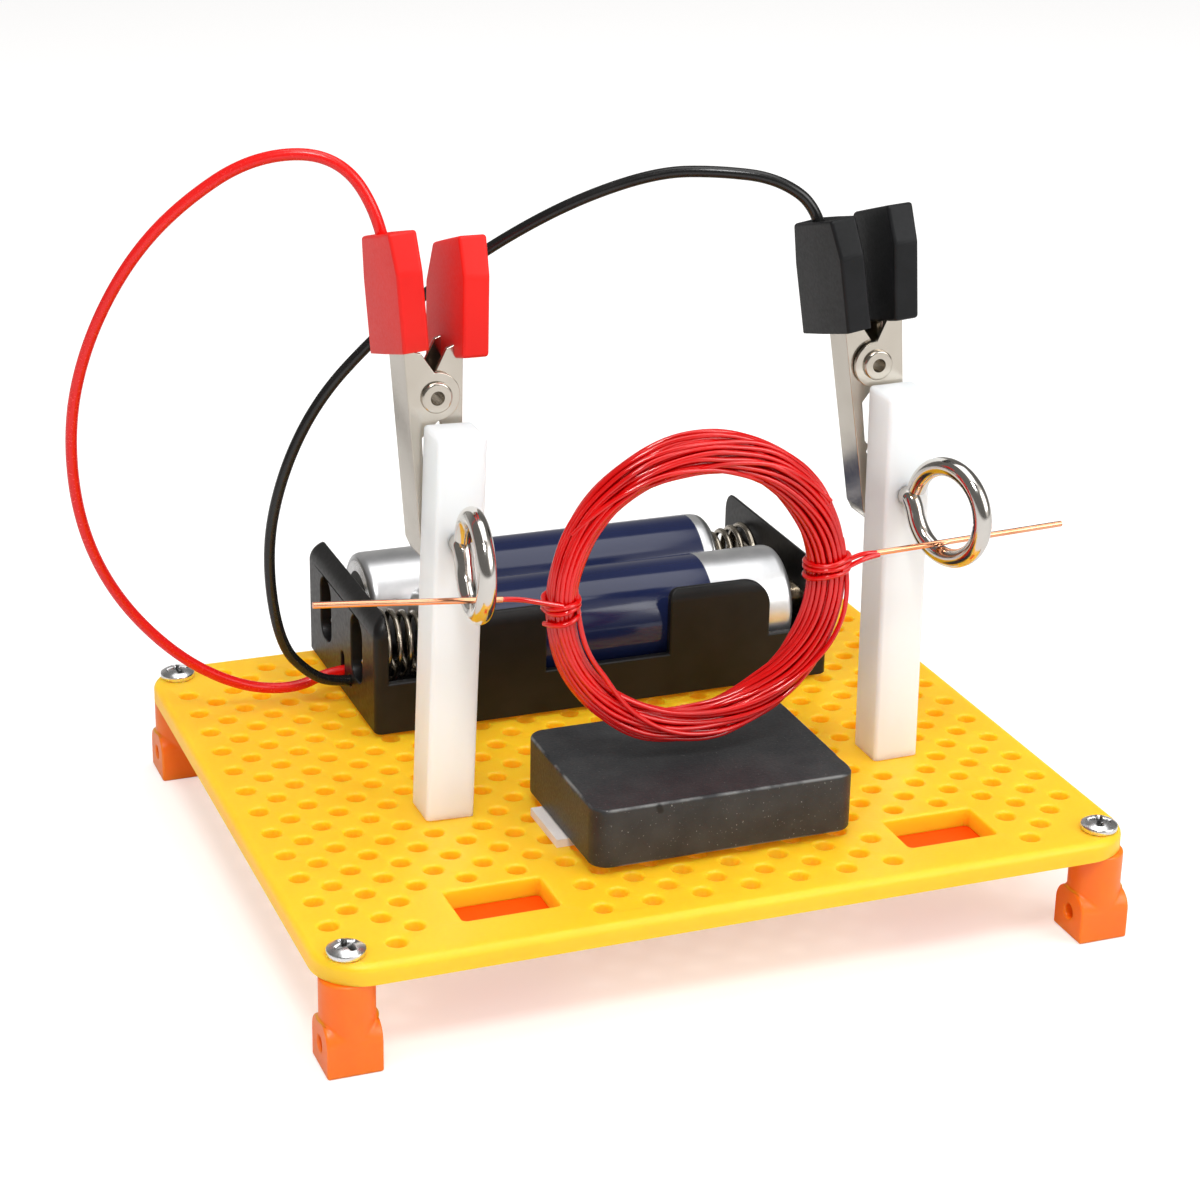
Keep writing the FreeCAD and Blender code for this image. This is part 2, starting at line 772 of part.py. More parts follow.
def cell_contacts():
    left_wall = holder_left + value("holder_end_wall")
    right_wall = holder_right - value("holder_end_wall")
    half = value("contact_width") / 2
    contact("negative_contact", left_wall, 1, front_cell_y - half, front_cell_y + half)
    reach = (rear_cell_y - half, rear_cell_y + half)
    positive = contact("positive_contact", left_wall, 1, *reach, rear_cell_y)
    tail_y = rear_cell_y - half - value("contact_tail_width") / 2
    tail_height = value("red_lead_hole_height") + board_top - cell_axis_height
    place = (0, tail_y, f"{tail_height} - contact_tail_width / 2")
    tail = ("contact_thickness", "contact_tail_width", "contact_tail_width")
    positive.box("solder_tail", *tail, place)
    reach = (front_cell_y - half, rear_cell_y + half)
    contact("bridge_contact", right_wall, -1, *reach, front_cell_y, "bridge_height")

    rivets = []
    for name, y in CONTACT_RIVETS.items():
        inside = shifted(right_wall, y, cell_axis_height, ALONG_X)
        shank = rod(name + "_rivet_shank", inside, "rivet_radius", "holder_end_wall")
        outside = shifted(holder_right, y, cell_axis_height, ALONG_X)
        head = rod(name + "_rivet_head", outside, "rivet_head_radius", "rivet_head_height")
        rivets.append(fuse(name + "_rivet", [shank, head]))
    keep(group("contact_rivets", rivets), "contact_rivets")

    size = {"Radius1": "solder_radius", "Radius2": "solder_tip_radius", "Height": "solder_height"}
    blobs = []
    for name, y in CONTACT_RIVETS.items():
        place = shifted(left_wall, y, cell_axis_height, Rotation(Y_AXIS, -90))
        blobs.append(solid("Cone", name + "_solder", place, **size))
    keep(group("solder_joints", blobs), "solder_joints")


def cell_spring(name, wall_x, facing, y):
    """A conical contact spring between a contact plate and a cell's flat end."""
    drop = value("cell_spring_base_radius") - value("cell_spring_tip_radius")
    spring = wire_helix(
        name,
        "cell_spring_wire_radius",
        Radius="cell_spring_base_radius",
        Pitch="cell_spring_height / cell_spring_turns",
        Height="cell_spring_height",
        Angle=-math.degrees(math.atan2(drop, value("cell_spring_height"))),
    )
    start = wall_x + facing * (value("contact_thickness") + value("cell_spring_wire_radius"))
    spring.Placement = shifted(start, y, cell_axis_height, Rotation(Y_AXIS, 90 * facing))
    keep(spring, name)


def cell(name, facing, y):
    """A round cell; facing is +1 where its button points along +X."""
    gap = value("cell_end_gap") + value("contact_thickness")
    if facing > 0:
        tip = holder_right - value("holder_end_wall") - gap - value("contact_dimple_height")
    else:
        tip = holder_left + value("holder_end_wall") + gap + value("contact_dimple_height")
    # Each piece is drawn with the button at the origin and the cell running down -Z.
    place = shifted(tip, y, cell_axis_height, Rotation(Y_AXIS, 90 * facing))
    shoulder = "-cell_button_height"
    length = "(cell_length - cell_button_height)"
    can_radius = "(cell_radius - cell_label_thickness)"

    can = Body(name + "_can", place)
    can.rod("can", can_radius, length, (0, 0, f"{shoulder} - {length}"))
    ends = (-value("cell_button_height"), -value("cell_length"))
    can.fillet("rolled_ends", "cell_end_round", lambda e: lies_at_any(e, Z_AXIS, ends))
    recess = (0, 0, f"{shoulder} - cell_seal_depth")
    can.rod("seal_recess", "cell_seal_radius", "cell_seal_depth", recess, cut=True)

    label = Body(name + "_label", place)
    label_length = f"({length} - 2 * cell_end_round)"
    start = f"{shoulder} - {length} + cell_end_round"
    label.rod("outside", "cell_radius", label_length, (0, 0, start))
    label.rod("inside", can_radius, label_length, (0, 0, start), cut=True)

    seal = Body(name + "_seal", place)
    seal.rod("washer", "cell_seal_radius", "cell_seal_depth", recess)
    seal.rod("opening", "cell_button_radius", "cell_seal_depth", recess, cut=True)

    button = Body(name + "_button", place)
    height = "cell_button_height + cell_seal_depth"
    button.rod("button", "cell_button_radius", height, (0, 0, f"-({height})"))
    button.fillet("dome", "cell_button_round", lambda e: lies_at(e, Z_AXIS, 0))


def power_supply():
    cell_holder()
    cell_contacts()
    cell_spring("front_cell_spring", holder_left + value("holder_end_wall"), 1, front_cell_y)
    cell_spring("rear_cell_spring", holder_right - value("holder_end_wall"), -1, rear_cell_y)
    cell("front_cell", 1, front_cell_y)
    cell("rear_cell", -1, rear_cell_y)


def post(side):
    """A square nylon post, leaning a little, with its cross hole for the screw eye."""
    foot = POSTS[side]
    lean = value(f"{side}_post_lean_angle")
    lift = math.sin(math.radians(abs(lean))) * value("post_width") / 2
    place = Placement(foot + Vector(0, 0, lift), Rotation(Y_AXIS, lean))
    body = Body(f"{side}_post", place)
    body.box("bar", "post_width", "post_width", "post_height", (0, 0, 0))
    body.fillet("long_edges", "post_round", lambda e: runs_along(e, Z_AXIS))
    top = value("post_height")
    body.fillet("top_edges", "post_round", lambda e: lies_at(e, Z_AXIS, top))
    hole = place.inverse().multVec(eye_hole(side))
    radius = "eye_thread_radius + eye_hole_clearance"
    body.rod("eye_hole", radius, "2 * post_width", (hole.x, "-post_width", hole.z), "y", True)
    radius = "post_screw_radius + post_screw_clearance"
    body.rod("screw_pilot", radius, "post_screw_depth", (0, 0, 0), cut=True)


def ring_height():
    """Height of the eye centres, for the axle to lie in the bottom of the rings."""
    inner = value("eye_ring_radius") - value("eye_wire_radius")
    return axle.z + inner - value("axle_wire_radius") - value("axle_clearance")


def eye_hole(side):
    """Where the screw eye enters the front of its post."""
    foot = POSTS[side]
    lean = math.radians(value(f"{side}_post_lean_angle"))
    x = foot.x + (ring_height() - board_top) * math.tan(lean) + value("eye_offset")
    return Vector(x, value(f"{side}_post_front_y"), ring_height())


def ring_centre(side):
    turn = Rotation(Z_AXIS, value(f"{side}_eye_turn_angle"))
    bend = eye_hole(side) - Vector(0, value("eye_wire_radius"), 0)
    reach = value(f"{side}_eye_reach") - value("eye_wire_radius")
    return bend + turn.multVec(Vector(0, -reach, 0))


def screw_eye(side):
    """A wire ring on a shank, bent a little sideways, with a threaded tail."""
    name = f"{side}_screw_eye"
    turn = Rotation(Z_AXIS, value(f"{side}_eye_turn_angle"))
    centre = ring_centre(side)
    bend = eye_hole(side) - Vector(0, value("eye_wire_radius"), 0)
    # The ring starts at the shank and runs down, forward and up to its open mouth.
    ring_turn = turn.multiply(Rotation(Y_AXIS, -Z_AXIS, -X_AXIS, "XYZ"))
    ring = solid("Torus", name + "_ring", Placement(centre, ring_turn), Radius1="eye_ring_radius")
    bind(ring, Radius2="eye_wire_radius", Angle3="360 - eye_mouth_angle")
    wire = "eye_wire_radius"
    root = centre + turn.multVec(Vector(0, value("eye_ring_radius"), 0))
    length = f"{side}_eye_reach - {wire} - eye_ring_radius"
    shank = rod(name + "_shank", Placement(root, turn.multiply(ALONG_Y)), wire, length)
    knuckle = solid("Sphere", name + "_knuckle", Placement(bend, UPRIGHT), Radius=wire)
    heel = solid("Sphere", name + "_heel", Placement(root, UPRIGHT), Radius=wire)
    length = f"post_width + {wire} + eye_tail_length"
    tail = rod(name + "_tail", Placement(bend, ALONG_Y), "eye_thread_radius", length)
    keep(fuse(name, [ring, shank, knuckle, heel, tail]), name)


def posts_and_eyes():
    for side in SIDES:
        post(side)
        screw_eye(side)
    size = ("post_screw_radius", "board_thickness + post_screw_depth - 2 * post_screw_clearance")
    places = {
        side: shifted(foot.x, foot.y, value("leg_height"), Rotation(X_AXIS, 180))
        for side, foot in POSTS.items()
    }
    screws = [pan_screw(f"{side}_post_screw", *size, places[side]) for side in SIDES]
    keep(group("post_screws", screws), "post_screws")


def coil_winding():
    middle = Vector(value("coil_middle_x"), axle.y, axle.z - value("coil_drop"))
    body = Body("coil_winding", Placement(middle, UPRIGHT))
    profile = body.sketch("section", "XZ_Plane")
    for half_length, half_height in (
        ("coil_outer_half_length", "coil_outer_half_height"),
        ("coil_inner_half_length", "coil_inner_half_height"),
    ):
        add_ellipse(profile, half_length, half_height)
    doc.recompute()
    body.pad("ring", profile, "coil_thickness")
    body.fillet("bundle", "coil_round", lambda e: not runs_along(e, Y_AXIS))


def add_ellipse(profile, half_length, half_height):
    """An ellipse about the sketch's origin, long way first, with both half axes bound."""
    long_way = X_AXIS if value(half_length) > value(half_height) else Y_AXIS
    major, minor = half_length, half_height
    if long_way == Y_AXIS:
        major, minor = half_height, half_length
    side = Vector(-long_way.y, long_way.x, 0)
    curve = Part.Ellipse(long_way * value(major), side * value(minor), Vector())
    index = profile.addGeometry(curve, False)
    profile.exposeInternalGeometry(index)
    profile.addConstraint(Sketcher.Constraint("Coincident", index, 3, -1, 1))
    flat = -1 if long_way == X_AXIS else -2
    profile.addConstraint(Sketcher.Constraint("PointOnObject", index + 1, 1, flat))
    for line, text in ((index + 1, major), (index + 2, minor)):
        mark = profile.addConstraint(Sketcher.Constraint("Distance", line, 2 * value(text)))
        profile.setExpression(f"Constraints[{mark}]", cells(f"2 * {text}"))


def bundle_middle():
    """How far the middle of the bundle lies from the coil's centre, sideways."""
    return (value("coil_outer_half_length") + value("coil_inner_half_length")) / 2


def binding(side):
    """Turns of the coil's own wire wrapped round the bundle where the axle leaves it."""
    reach = bundle_middle() * (1 if side == "right" else -1)
    height = board_top + value(f"{side}_binding_height")
    body = Body(f"{side}_binding", shifted(value("coil_middle_x") + reach, axle.y, height))
    bundle = "(coil_outer_half_length - coil_inner_half_length + 2 * binding_clearance)"
    depth = "(coil_thickness + 2 * binding_clearance)"
    base = "-binding_height / 2"
    wrap = (f"{bundle} + 2 * binding_wire", f"{depth} + 2 * binding_wire", "binding_height")
    body.box("wrap", *wrap, (0, 0, base))
    body.fillet("wrap_corners", "coil_round", lambda e: runs_along(e, Z_AXIS))
    body.box("bundle_space", bundle, depth, "binding_height", (0, 0, base), cut=True)


def axle_wire(side):
    """The free end of the coil wire, straight through its ring at a small slope."""
    way = 1 if side == "right" else -1
    slope = math.radians(value(f"{side}_axle_slope_angle"))
    start_x = value("coil_middle_x") + way * (
        value("coil_outer_half_length")
        + value("binding_clearance")
        + value("binding_wire")
        + value("axle_wire_radius") * math.tan(slope)
    )
    rest_x = ring_centre(side).x
    start = Vector(start_x, axle.y, axle.z - abs(rest_x - start_x) * math.tan(slope))
    reach = abs(value(f"{side}_axle_end_x") - start_x) / math.cos(slope)
    turn = Rotation(Y_AXIS, way * (90 - math.degrees(slope)))
    body = Body(f"{side}_axle_wire", Placement(start, turn))
    body.rod("wire", "axle_wire_radius", reach, (0, 0, 0))
    body.fillet("tip", "axle_tip_round", lambda e: lies_at(e, Z_AXIS, reach))


def rotor():
    coil_winding()
    for side in SIDES:
        binding(side)
        axle_wire(side)


def magnet():
    middle_x, middle_y = value("magnet_middle_x"), value("magnet_middle_y")
    body = Body("magnet", shifted(middle_x, middle_y, board_top + value("pad_thickness")))
    body.box("block", "magnet_length", "magnet_width", "magnet_height", (0, 0, 0))
    body.fillet("corners", "magnet_corner_radius", lambda e: runs_along(e, Z_AXIS))
    ends = (0, value("magnet_height"))
    body.fillet("edges", "magnet_edge_round", lambda e: lies_at_any(e, Z_AXIS, ends))
    pad = Body("magnet_pad", shifted(value("pad_middle_x"), value("pad_middle_y"), board_top))
    pad.box("foam", "pad_length", "pad_width", "pad_thickness", (0, 0, 0))


def clip_place(side):
    """The clip's own frame: its rivet at the origin, jaws down, standing behind its post."""
    tail = eye_hole(side)
    lean = value(f"{CLIPS[side]}_clip_lean_angle")
    height = clip_height(side)
    x = tail.x - (height - tail.z) * math.tan(math.radians(lean))
    y = POSTS[side].y + value("post_width") / 2 + value("clip_post_gap") + value("clip_depth") / 2
    return Placement(Vector(x, y, height), Rotation(Y_AXIS, -lean))


def clip_height(side):
    return board_top + value(f"{CLIPS[side]}_clip_height")


def lever_place(side, way):
    """A lever's frame: the clip's, turned by the half angle; way is -1 for the left lever."""
    turn = Placement(Vector(), Rotation(Y_AXIS, way * value("clip_half_angle")))
    return clip_place(side).multiply(turn)


def tooth_points(side):
    """Corners of the teeth from the throat to the tip, centred on the eye's tail."""
    lean = math.radians(value(f"{CLIPS[side]}_clip_lean_angle"))
    angle = math.radians(value("clip_half_angle"))
    drop = (clip_height(side) - ring_height()) / math.cos(lean)
    half_gap = value("eye_thread_radius") + value("jaw_grip_gap")
    crest = (half_gap + drop * math.sin(angle)) / math.cos(angle)
    count, pitch = int(value("jaw_tooth_count")), value("jaw_tooth_pitch")
    points = []
    for tooth in range(count):
        height = (count / 2 - tooth) * pitch - drop
        points.append((f"{crest} + jaw_tooth_depth", str(height)))
        points.append((str(crest), str(height - pitch / 2)))
    points.append((str(crest), "-jaw_length"))
    return points


def lever(side, way, name, outside):
    """One half of a clip: a channel of sheet with ears round the rivet and a toothed jaw."""
    body = Body(name, lever_place(side, way))
    sign = "-" if way < 0 else ""
    depth = "clip_depth"
    ear = "clip_ear_radius"
    if not outside:
        depth = "(clip_depth - 2 * clip_sheet - 2 * clip_side_gap)"
        ear = "(clip_half_width - clip_sheet - clip_ear_gap)"
    points = [
        ("clip_half_width", "clip_shoulder_height"),
        ("clip_shoulder_inner_x", "clip_shoulder_inner_height"),
        ("0", ear),
        ("0", f"-{ear}"),
        ("jaw_throat_x", "-jaw_throat_top"),
    ]
    points += tooth_points(side)
    points.append(("clip_half_width - clip_sheet", "-jaw_length"))
    points.append(("clip_half_width", "jaw_tip_cut - jaw_length"))
    profile = body.outline("profile", "XZ_Plane", [(f"{sign}({x})", z) for x, z in points])
    body.pad("cheeks", profile, depth)
    body.rod("ears", ear, depth, (0, f"-{depth} / 2", 0), "y")
    channel = ("2 * clip_half_width", f"{depth} - 2 * clip_sheet", "2 * jaw_length")
    body.box("channel", *channel, (f"{sign}(-clip_sheet)", 0, "-jaw_length"), cut=True)
    strip_x = f"{sign}(clip_half_width - clip_sheet / 2)"
    strip_z = "clip_shoulder_height - clip_sheet"
    strip = ("clip_sheet", "handle_strip_width", f"handle_strip_top - ({strip_z})")
    body.box("handle_strip", *strip, (strip_x, 0, strip_z))
    bore = "clip_rivet_radius" if way < 0 else "clip_rivet_radius + clip_pivot_clearance"
    body.rod("pivot_bore", bore, "2 * clip_depth", (0, "-clip_depth", 0), "y", cut=True)


def sleeve(side, way, kind):
    """A six-sided moulded grip on a lever's strip, cut on the slant at both ends."""
    size = f"{CLIPS[side]}_{kind}_sleeve"
    sign = "-" if way < 0 else ""
    body = Body(f"{CLIPS[side]}_clip_{kind}_sleeve", lever_place(side, way))
    middle = f"{sign}{size}_middle"
    base = f"(sleeve_bottom + {size}_slip)"
    crease = f"{base} + sleeve_crease_height"
    top = f"{base} + sleeve_length"
    corners = [
        ("sleeve_face_width", "-sleeve_front_reach"),
        ("sleeve_waist_width", "sleeve_waist_reach"),
        ("sleeve_back_width", "sleeve_back_reach"),
    ]
    right = [(f"{middle} + {width} / 2", reach) for width, reach in corners]
    left = [(f"{middle} - {width} / 2", reach) for width, reach in reversed(corners)]
    lowest = f"({base} - sleeve_back_drop)"
    section = body.outline("section", "XY_Plane", right + left, offset=lowest)
    body.pad("prism", section, "sleeve_length + sleeve_back_drop", middle=False)

    side_view = [
        ("-sleeve_front_reach", base),
        ("-sleeve_front_reach", crease),
        ("-sleeve_top_front_reach", top),
        (f"{kind}_sleeve_top_back_reach", f"{top} - sleeve_top_drop"),
        ("sleeve_back_reach", f"{crease} - sleeve_back_drop"),
        ("sleeve_back_reach", lowest),
    ]
    margin = "sleeve_back_reach"
    frame = [
        (f"-2 * {margin}", f"{lowest} - {margin}"),
        (f"-2 * {margin}", f"{top} + {margin}"),
        (f"2 * {margin}", f"{top} + {margin}"),
        (f"2 * {margin}", f"{lowest} - {margin}"),
    ]
    waste = body.outline("waste", "YZ_Plane", frame, side_view)
    body.pocket("slanted_ends", waste, "4 * sleeve_front_reach")

    gap = "sleeve_mouth_gap"
    mouth = (
        f"clip_half_width + 2 * {gap}",
        f"clip_depth + 2 * {gap}",
        f"clip_shoulder_height + {gap} - {lowest}",
    )
    body.box("mouth", *mouth, (f"{sign}clip_half_width / 2", 0, lowest), cut=True)
    strip = ("clip_sheet", "handle_strip_width", "handle_strip_top")
    strip_x = f"{sign}(clip_half_width - clip_sheet / 2)"
    body.box("socket", *strip, (strip_x, 0, 0), cut=True)
    hole_x = "-lead_sleeve_x" if kind == "lead" else middle
    bottom = lead_mouth_height(side) - value("lead_sleeve_depth")
    radius = "lead_radius + lead_sleeve_clearance"
    body.rod("lead_hole", radius, "sleeve_length", (hole_x, "lead_sleeve_y", bottom), cut=True)


def lead_mouth_height(side):
    """Where a lead meets its sleeve's slanted top, in the lever's frame."""
    top = value("sleeve_bottom") + value(f"{CLIPS[side]}_lead_sleeve_slip") + value("sleeve_length")
    reach = value("lead_sleeve_y") + value("sleeve_top_front_reach")
    depth = value("lead_sleeve_top_back_reach") + value("sleeve_top_front_reach")
    return top - value("sleeve_top_drop") * reach / depth


def clip_rivet(side):
    """A hollow eyelet through both levers, rolled over at each face."""
    body = Body(f"{CLIPS[side]}_clip_rivet", clip_place(side))
    head = "clip_rivet_head_height"
    reach = "(clip_depth / 2 + clip_pivot_clearance)"
    body.rod("barrel", "clip_rivet_radius", f"2 * {reach}", (0, f"-{reach}", 0), "y")
    body.rod("front_head", "clip_rivet_head_radius", head, (0, f"-{reach} - {head}", 0), "y")
    body.rod("rear_head", "clip_rivet_head_radius", head, (0, reach, 0), "y")
    face = value("clip_depth") / 2 + value("clip_pivot_clearance") + value(head)
    faces = (-face, face)
    body.fillet("rolled_rims", "clip_rivet_head_round", lambda e: lies_at_any(e, Y_AXIS, faces))
    start = (0, "-clip_depth", 0)
    body.rod("bore", "clip_rivet_bore_radius", "2 * clip_depth", start, "y", cut=True)


def clip_spring(side):
    """A torsion spring round the rivet, with one leg up inside each lever."""
    name = f"{CLIPS[side]}_clip_spring"
    coil = wire_helix(
        name + "_coil",
        "clip_spring_wire_radius",
        Radius="clip_spring_radius",
        Pitch="clip_spring_pitch",
        Height="clip_spring_pitch * clip_spring_turns",
    )
    height = value("clip_spring_pitch") * value("clip_spring_turns")
    coil.Placement = shifted(0, -height / 2, 0, ALONG_Y)
    parts = [coil]
    for number, way in enumerate((1, -1)):
        foot = shifted(
            way * value("clip_spring_radius"),
            -way * height / 2,
            0,
            Rotation(Y_AXIS, way * value("clip_spring_spread")),
        )
        wire = "clip_spring_wire_radius"
        parts.append(rod(f"{name}_leg_{number}", foot, wire, "clip_spring_leg"))
        bend = solid("Sphere", f"{name}_bend_{number}", foot, Radius="clip_spring_bend_radius")
        parts.append(bend)
    spring = fuse(name, parts)
    spring.Placement = clip_place(side)
    keep(spring, name)


def clip(side):
    lead_lever_outside = side == "left"
    lever(side, -1, f"{CLIPS[side]}_clip_fixed_jaw", lead_lever_outside)
    lever(side, 1, f"{CLIPS[side]}_clip_moving_jaw", not lead_lever_outside)
    sleeve(side, -1, "lead")
    sleeve(side, 1, "free")
    clip_rivet(side)
    clip_spring(side)


# Corners of each lead's route between the holder and the sleeve, above the board.
LEAD_ROUTES = {
    "red": [
        (-34.1, 26.7, 1.8),
        (-41.5, 26.3, 3.4),
        (-49.8, 25.5, 9.2),
        (-57.3, 24.3, 18.7),
        (-61.7, 21.5, 30),
        (-62.8, 18.6, 42.6),
        (-61, 15.5, 53.3),
        (-56.8, 11.9, 63.4),
        (-51.2, 8.5, 70.9),
        (-42.9, 4.9, 77.2),
        (-33.9, 1.6, 77.4),
    ],
    "black": [
        (-32.8, 23.6, 5),
        (-36.7, 23.5, 9.7),
        (-38.2, 23.1, 22.2),
        (-36.2, 22.3, 32.8),
        (-31.9, 20.6, 42.6),
        (-25.3, 18.2, 50.6),
        (-18, 15.5, 57.6),
        (-10.2, 12.4, 63.6),
        (-2.2, 8.9, 68.5),
        (6.2, 5.4, 71.8),
        (12.2, 2, 72.3),
        (19.1, -0.8, 71.6),
    ],
}


def lead_route(side):
    """The whole route: out of the holder, along its corners and down into the sleeve."""
    colour = CLIPS[side]
    hole = Vector(
        holder_left,
        value(f"{colour}_lead_hole_y"),
        board_top + value(f"{colour}_lead_hole_height"),
    )
    start = hole + Vector(value("holder_end_wall") - value("lead_end_gap"), 0, 0)
    outside = hole - Vector(value("lead_exit"), 0, 0)
    corners = [Vector(x, y, board_top + z) for x, y, z in LEAD_ROUTES[colour]]
    mouth = Vector(-value("lead_sleeve_x"), value("lead_sleeve_y"), lead_mouth_height(side))
    above = lever_place(side, -1).multVec(mouth + Vector(0, 0, value("lead_sleeve_rise")))
    end = lever_place(side, -1).multVec(mouth - Vector(0, 0, value("lead_sleeve_depth")))
    return [start, outside] + corners + [above, end]


def rounded_path(points):
    """Straight runs joined by tangent arcs, as large as the runs allow."""
    edges = []
    radii = []
    last = points[0]
    for before, corner, after in zip(points, points[1:], points[2:]):
        inward = (before - corner).normalize()
        outward = (after - corner).normalize()
        turn = math.pi - inward.getAngle(outward)
        shorter = min((before - corner).Length, (after - corner).Length)
        setback = 0.45 * shorter
        radius = setback / math.tan(turn / 2)
        radii.append(round(radius, 1))
        first = corner + inward * setback
        final = corner + outward * setback
        bisector = (inward + outward).normalize()
        centre = corner + bisector * math.hypot(radius, setback)
        summit = centre - bisector * radius
        edges.append(Part.LineSegment(last, first).toShape())
        edges.append(Part.Arc(first, summit, final).toShape())
        last = final
    edges.append(Part.LineSegment(last, points[-1]).toShape())
    return Part.Wire(edges), radii


def lead(side):
    colour = CLIPS[side]
    path, radii = rounded_path(lead_route(side))
    start = path.Edges[0].valueAt(path.Edges[0].FirstParameter)
    way = path.Edges[0].tangentAt(path.Edges[0].FirstParameter)
    ring = Part.Wire(Part.makeCircle(value("lead_radius"), start, way))
    tube = path.makePipeShell([ring], True, False, 2)
    item = doc.addObject("Part::Feature", f"{colour}_lead")
    item.Shape = tube
    item.Placement = Placement()
    keep(item, f"{colour}_lead")
    expected = math.pi * value("lead_radius") ** 2 * path.Length
    print(f"{colour} lead: length {path.Length:.1f}, volume ratio {tube.Volume / expected:.4f}")
    print(f"{colour} lead radii: {radii}")


def check_and_write():
    doc.recompute()
    for item in doc.Objects:
        if "Invalid" in item.State or "Error" in item.State:
            raise RuntimeError(f"{item.Name} failed: {item.State}")
    for item in pieces:
        if item.Shape.isNull() or not item.Shape.isValid():
            raise RuntimeError(f"{item.Label} has no valid shape")
    os.makedirs("parts", exist_ok=True)
    for item in pieces:
        item.Shape.exportStep(f"parts/{item.Label}.step")
    print(f"{len(pieces)} sub-parts written")


board_and_legs()
power_supply()
posts_and_eyes()
rotor()
magnet()
for hand in SIDES:
    clip(hand)
    lead(hand)
check_and_write()
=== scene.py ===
import math

import bmesh
import bpy
from mathutils import Matrix, Vector, noise
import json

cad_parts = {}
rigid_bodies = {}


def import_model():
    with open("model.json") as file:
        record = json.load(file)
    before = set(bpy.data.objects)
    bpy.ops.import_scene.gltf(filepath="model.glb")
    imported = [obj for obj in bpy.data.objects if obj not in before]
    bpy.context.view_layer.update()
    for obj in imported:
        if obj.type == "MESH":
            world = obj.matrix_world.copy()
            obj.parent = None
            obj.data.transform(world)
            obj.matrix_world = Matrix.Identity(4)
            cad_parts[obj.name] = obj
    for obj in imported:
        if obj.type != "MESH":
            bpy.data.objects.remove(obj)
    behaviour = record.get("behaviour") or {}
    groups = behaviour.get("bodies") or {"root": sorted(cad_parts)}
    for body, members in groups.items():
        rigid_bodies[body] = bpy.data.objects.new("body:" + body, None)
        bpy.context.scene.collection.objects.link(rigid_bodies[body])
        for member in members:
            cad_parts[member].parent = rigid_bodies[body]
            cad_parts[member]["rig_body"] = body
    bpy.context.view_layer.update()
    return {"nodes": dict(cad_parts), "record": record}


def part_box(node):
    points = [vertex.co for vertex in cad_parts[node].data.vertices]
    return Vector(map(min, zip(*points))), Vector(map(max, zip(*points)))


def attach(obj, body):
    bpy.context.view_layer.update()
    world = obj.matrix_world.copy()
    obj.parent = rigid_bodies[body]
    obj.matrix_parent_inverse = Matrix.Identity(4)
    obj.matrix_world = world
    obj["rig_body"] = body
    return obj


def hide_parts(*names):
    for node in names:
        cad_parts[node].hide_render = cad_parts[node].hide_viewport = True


# A bench demonstration motor on a peg board. Sizes are in millimetres until they reach a mesh.

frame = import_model()
nodes = frame["nodes"]
MM = 0.001
CLIPS = ("red", "black")
SIDES = ("left", "right")

AXLE_Y = -20.7
COIL_MIDDLE = (1.8, AXLE_Y, 42.6)


# ---------------- trees of nodes


def add(tree, kind, inputs=None, **settings):
    """Adds a node; each input is a plain value or the output of another node."""
    item = tree.nodes.new(kind)
    for key, setting in settings.items():
        setattr(item, key, setting)
    for key, given in (inputs or {}).items():
        socket = item.inputs[key]
        if isinstance(given, bpy.types.NodeSocket):
            tree.links.new(given, socket)
        else:
            socket.default_value = given
    return item


def calc(tree, operation, *values):
    return add(tree, "ShaderNodeMath", dict(enumerate(values)), operation=operation).outputs[0]


def clouds(tree, where, scale, detail=3.0):
    sizes = {"Vector": where, "Scale": scale, "Detail": detail}
    return add(tree, "ShaderNodeTexNoise", sizes).outputs[0]


def painted(tree, name):
    """The value of a mesh attribute."""
    return add(tree, "ShaderNodeAttribute", {}, attribute_name=name).outputs["Fac"]


def ramp(tree, factor, *stops):
    """Colours along a factor; each stop is a place and a colour."""
    item = add(tree, "ShaderNodeValToRGB", {"Fac": factor})
    elements = item.color_ramp.elements
    elements[0].position, elements[0].color = stops[0][0], (*stops[0][1], 1)
    elements[1].position, elements[1].color = stops[-1][0], (*stops[-1][1], 1)
    for place, colour in stops[1:-1]:
        elements.new(place).color = (*colour, 1)
    return item.outputs[0]


def fade(tree, factor, low, high, start=0.0, end=1.0):
    """The factor's stretch from low to high, spread over start to end."""
    spans = {"Value": factor, "From Min": low, "From Max": high, "To Min": start, "To Max": end}
    return add(tree, "ShaderNodeMapRange", spans).outputs[0]


def blend_colours(tree, factor, first, second):
    item = add(tree, "ShaderNodeMix", {"Factor": factor}, data_type="RGBA")
    for number, colour in ((6, first), (7, second)):
        if isinstance(colour, bpy.types.NodeSocket):
            tree.links.new(colour, item.inputs[number])
        else:
            item.inputs[number].default_value = (*colour, 1)
    return item.outputs[2]


# ---------------- finishes


RELIEF_DEPTH = 0.1


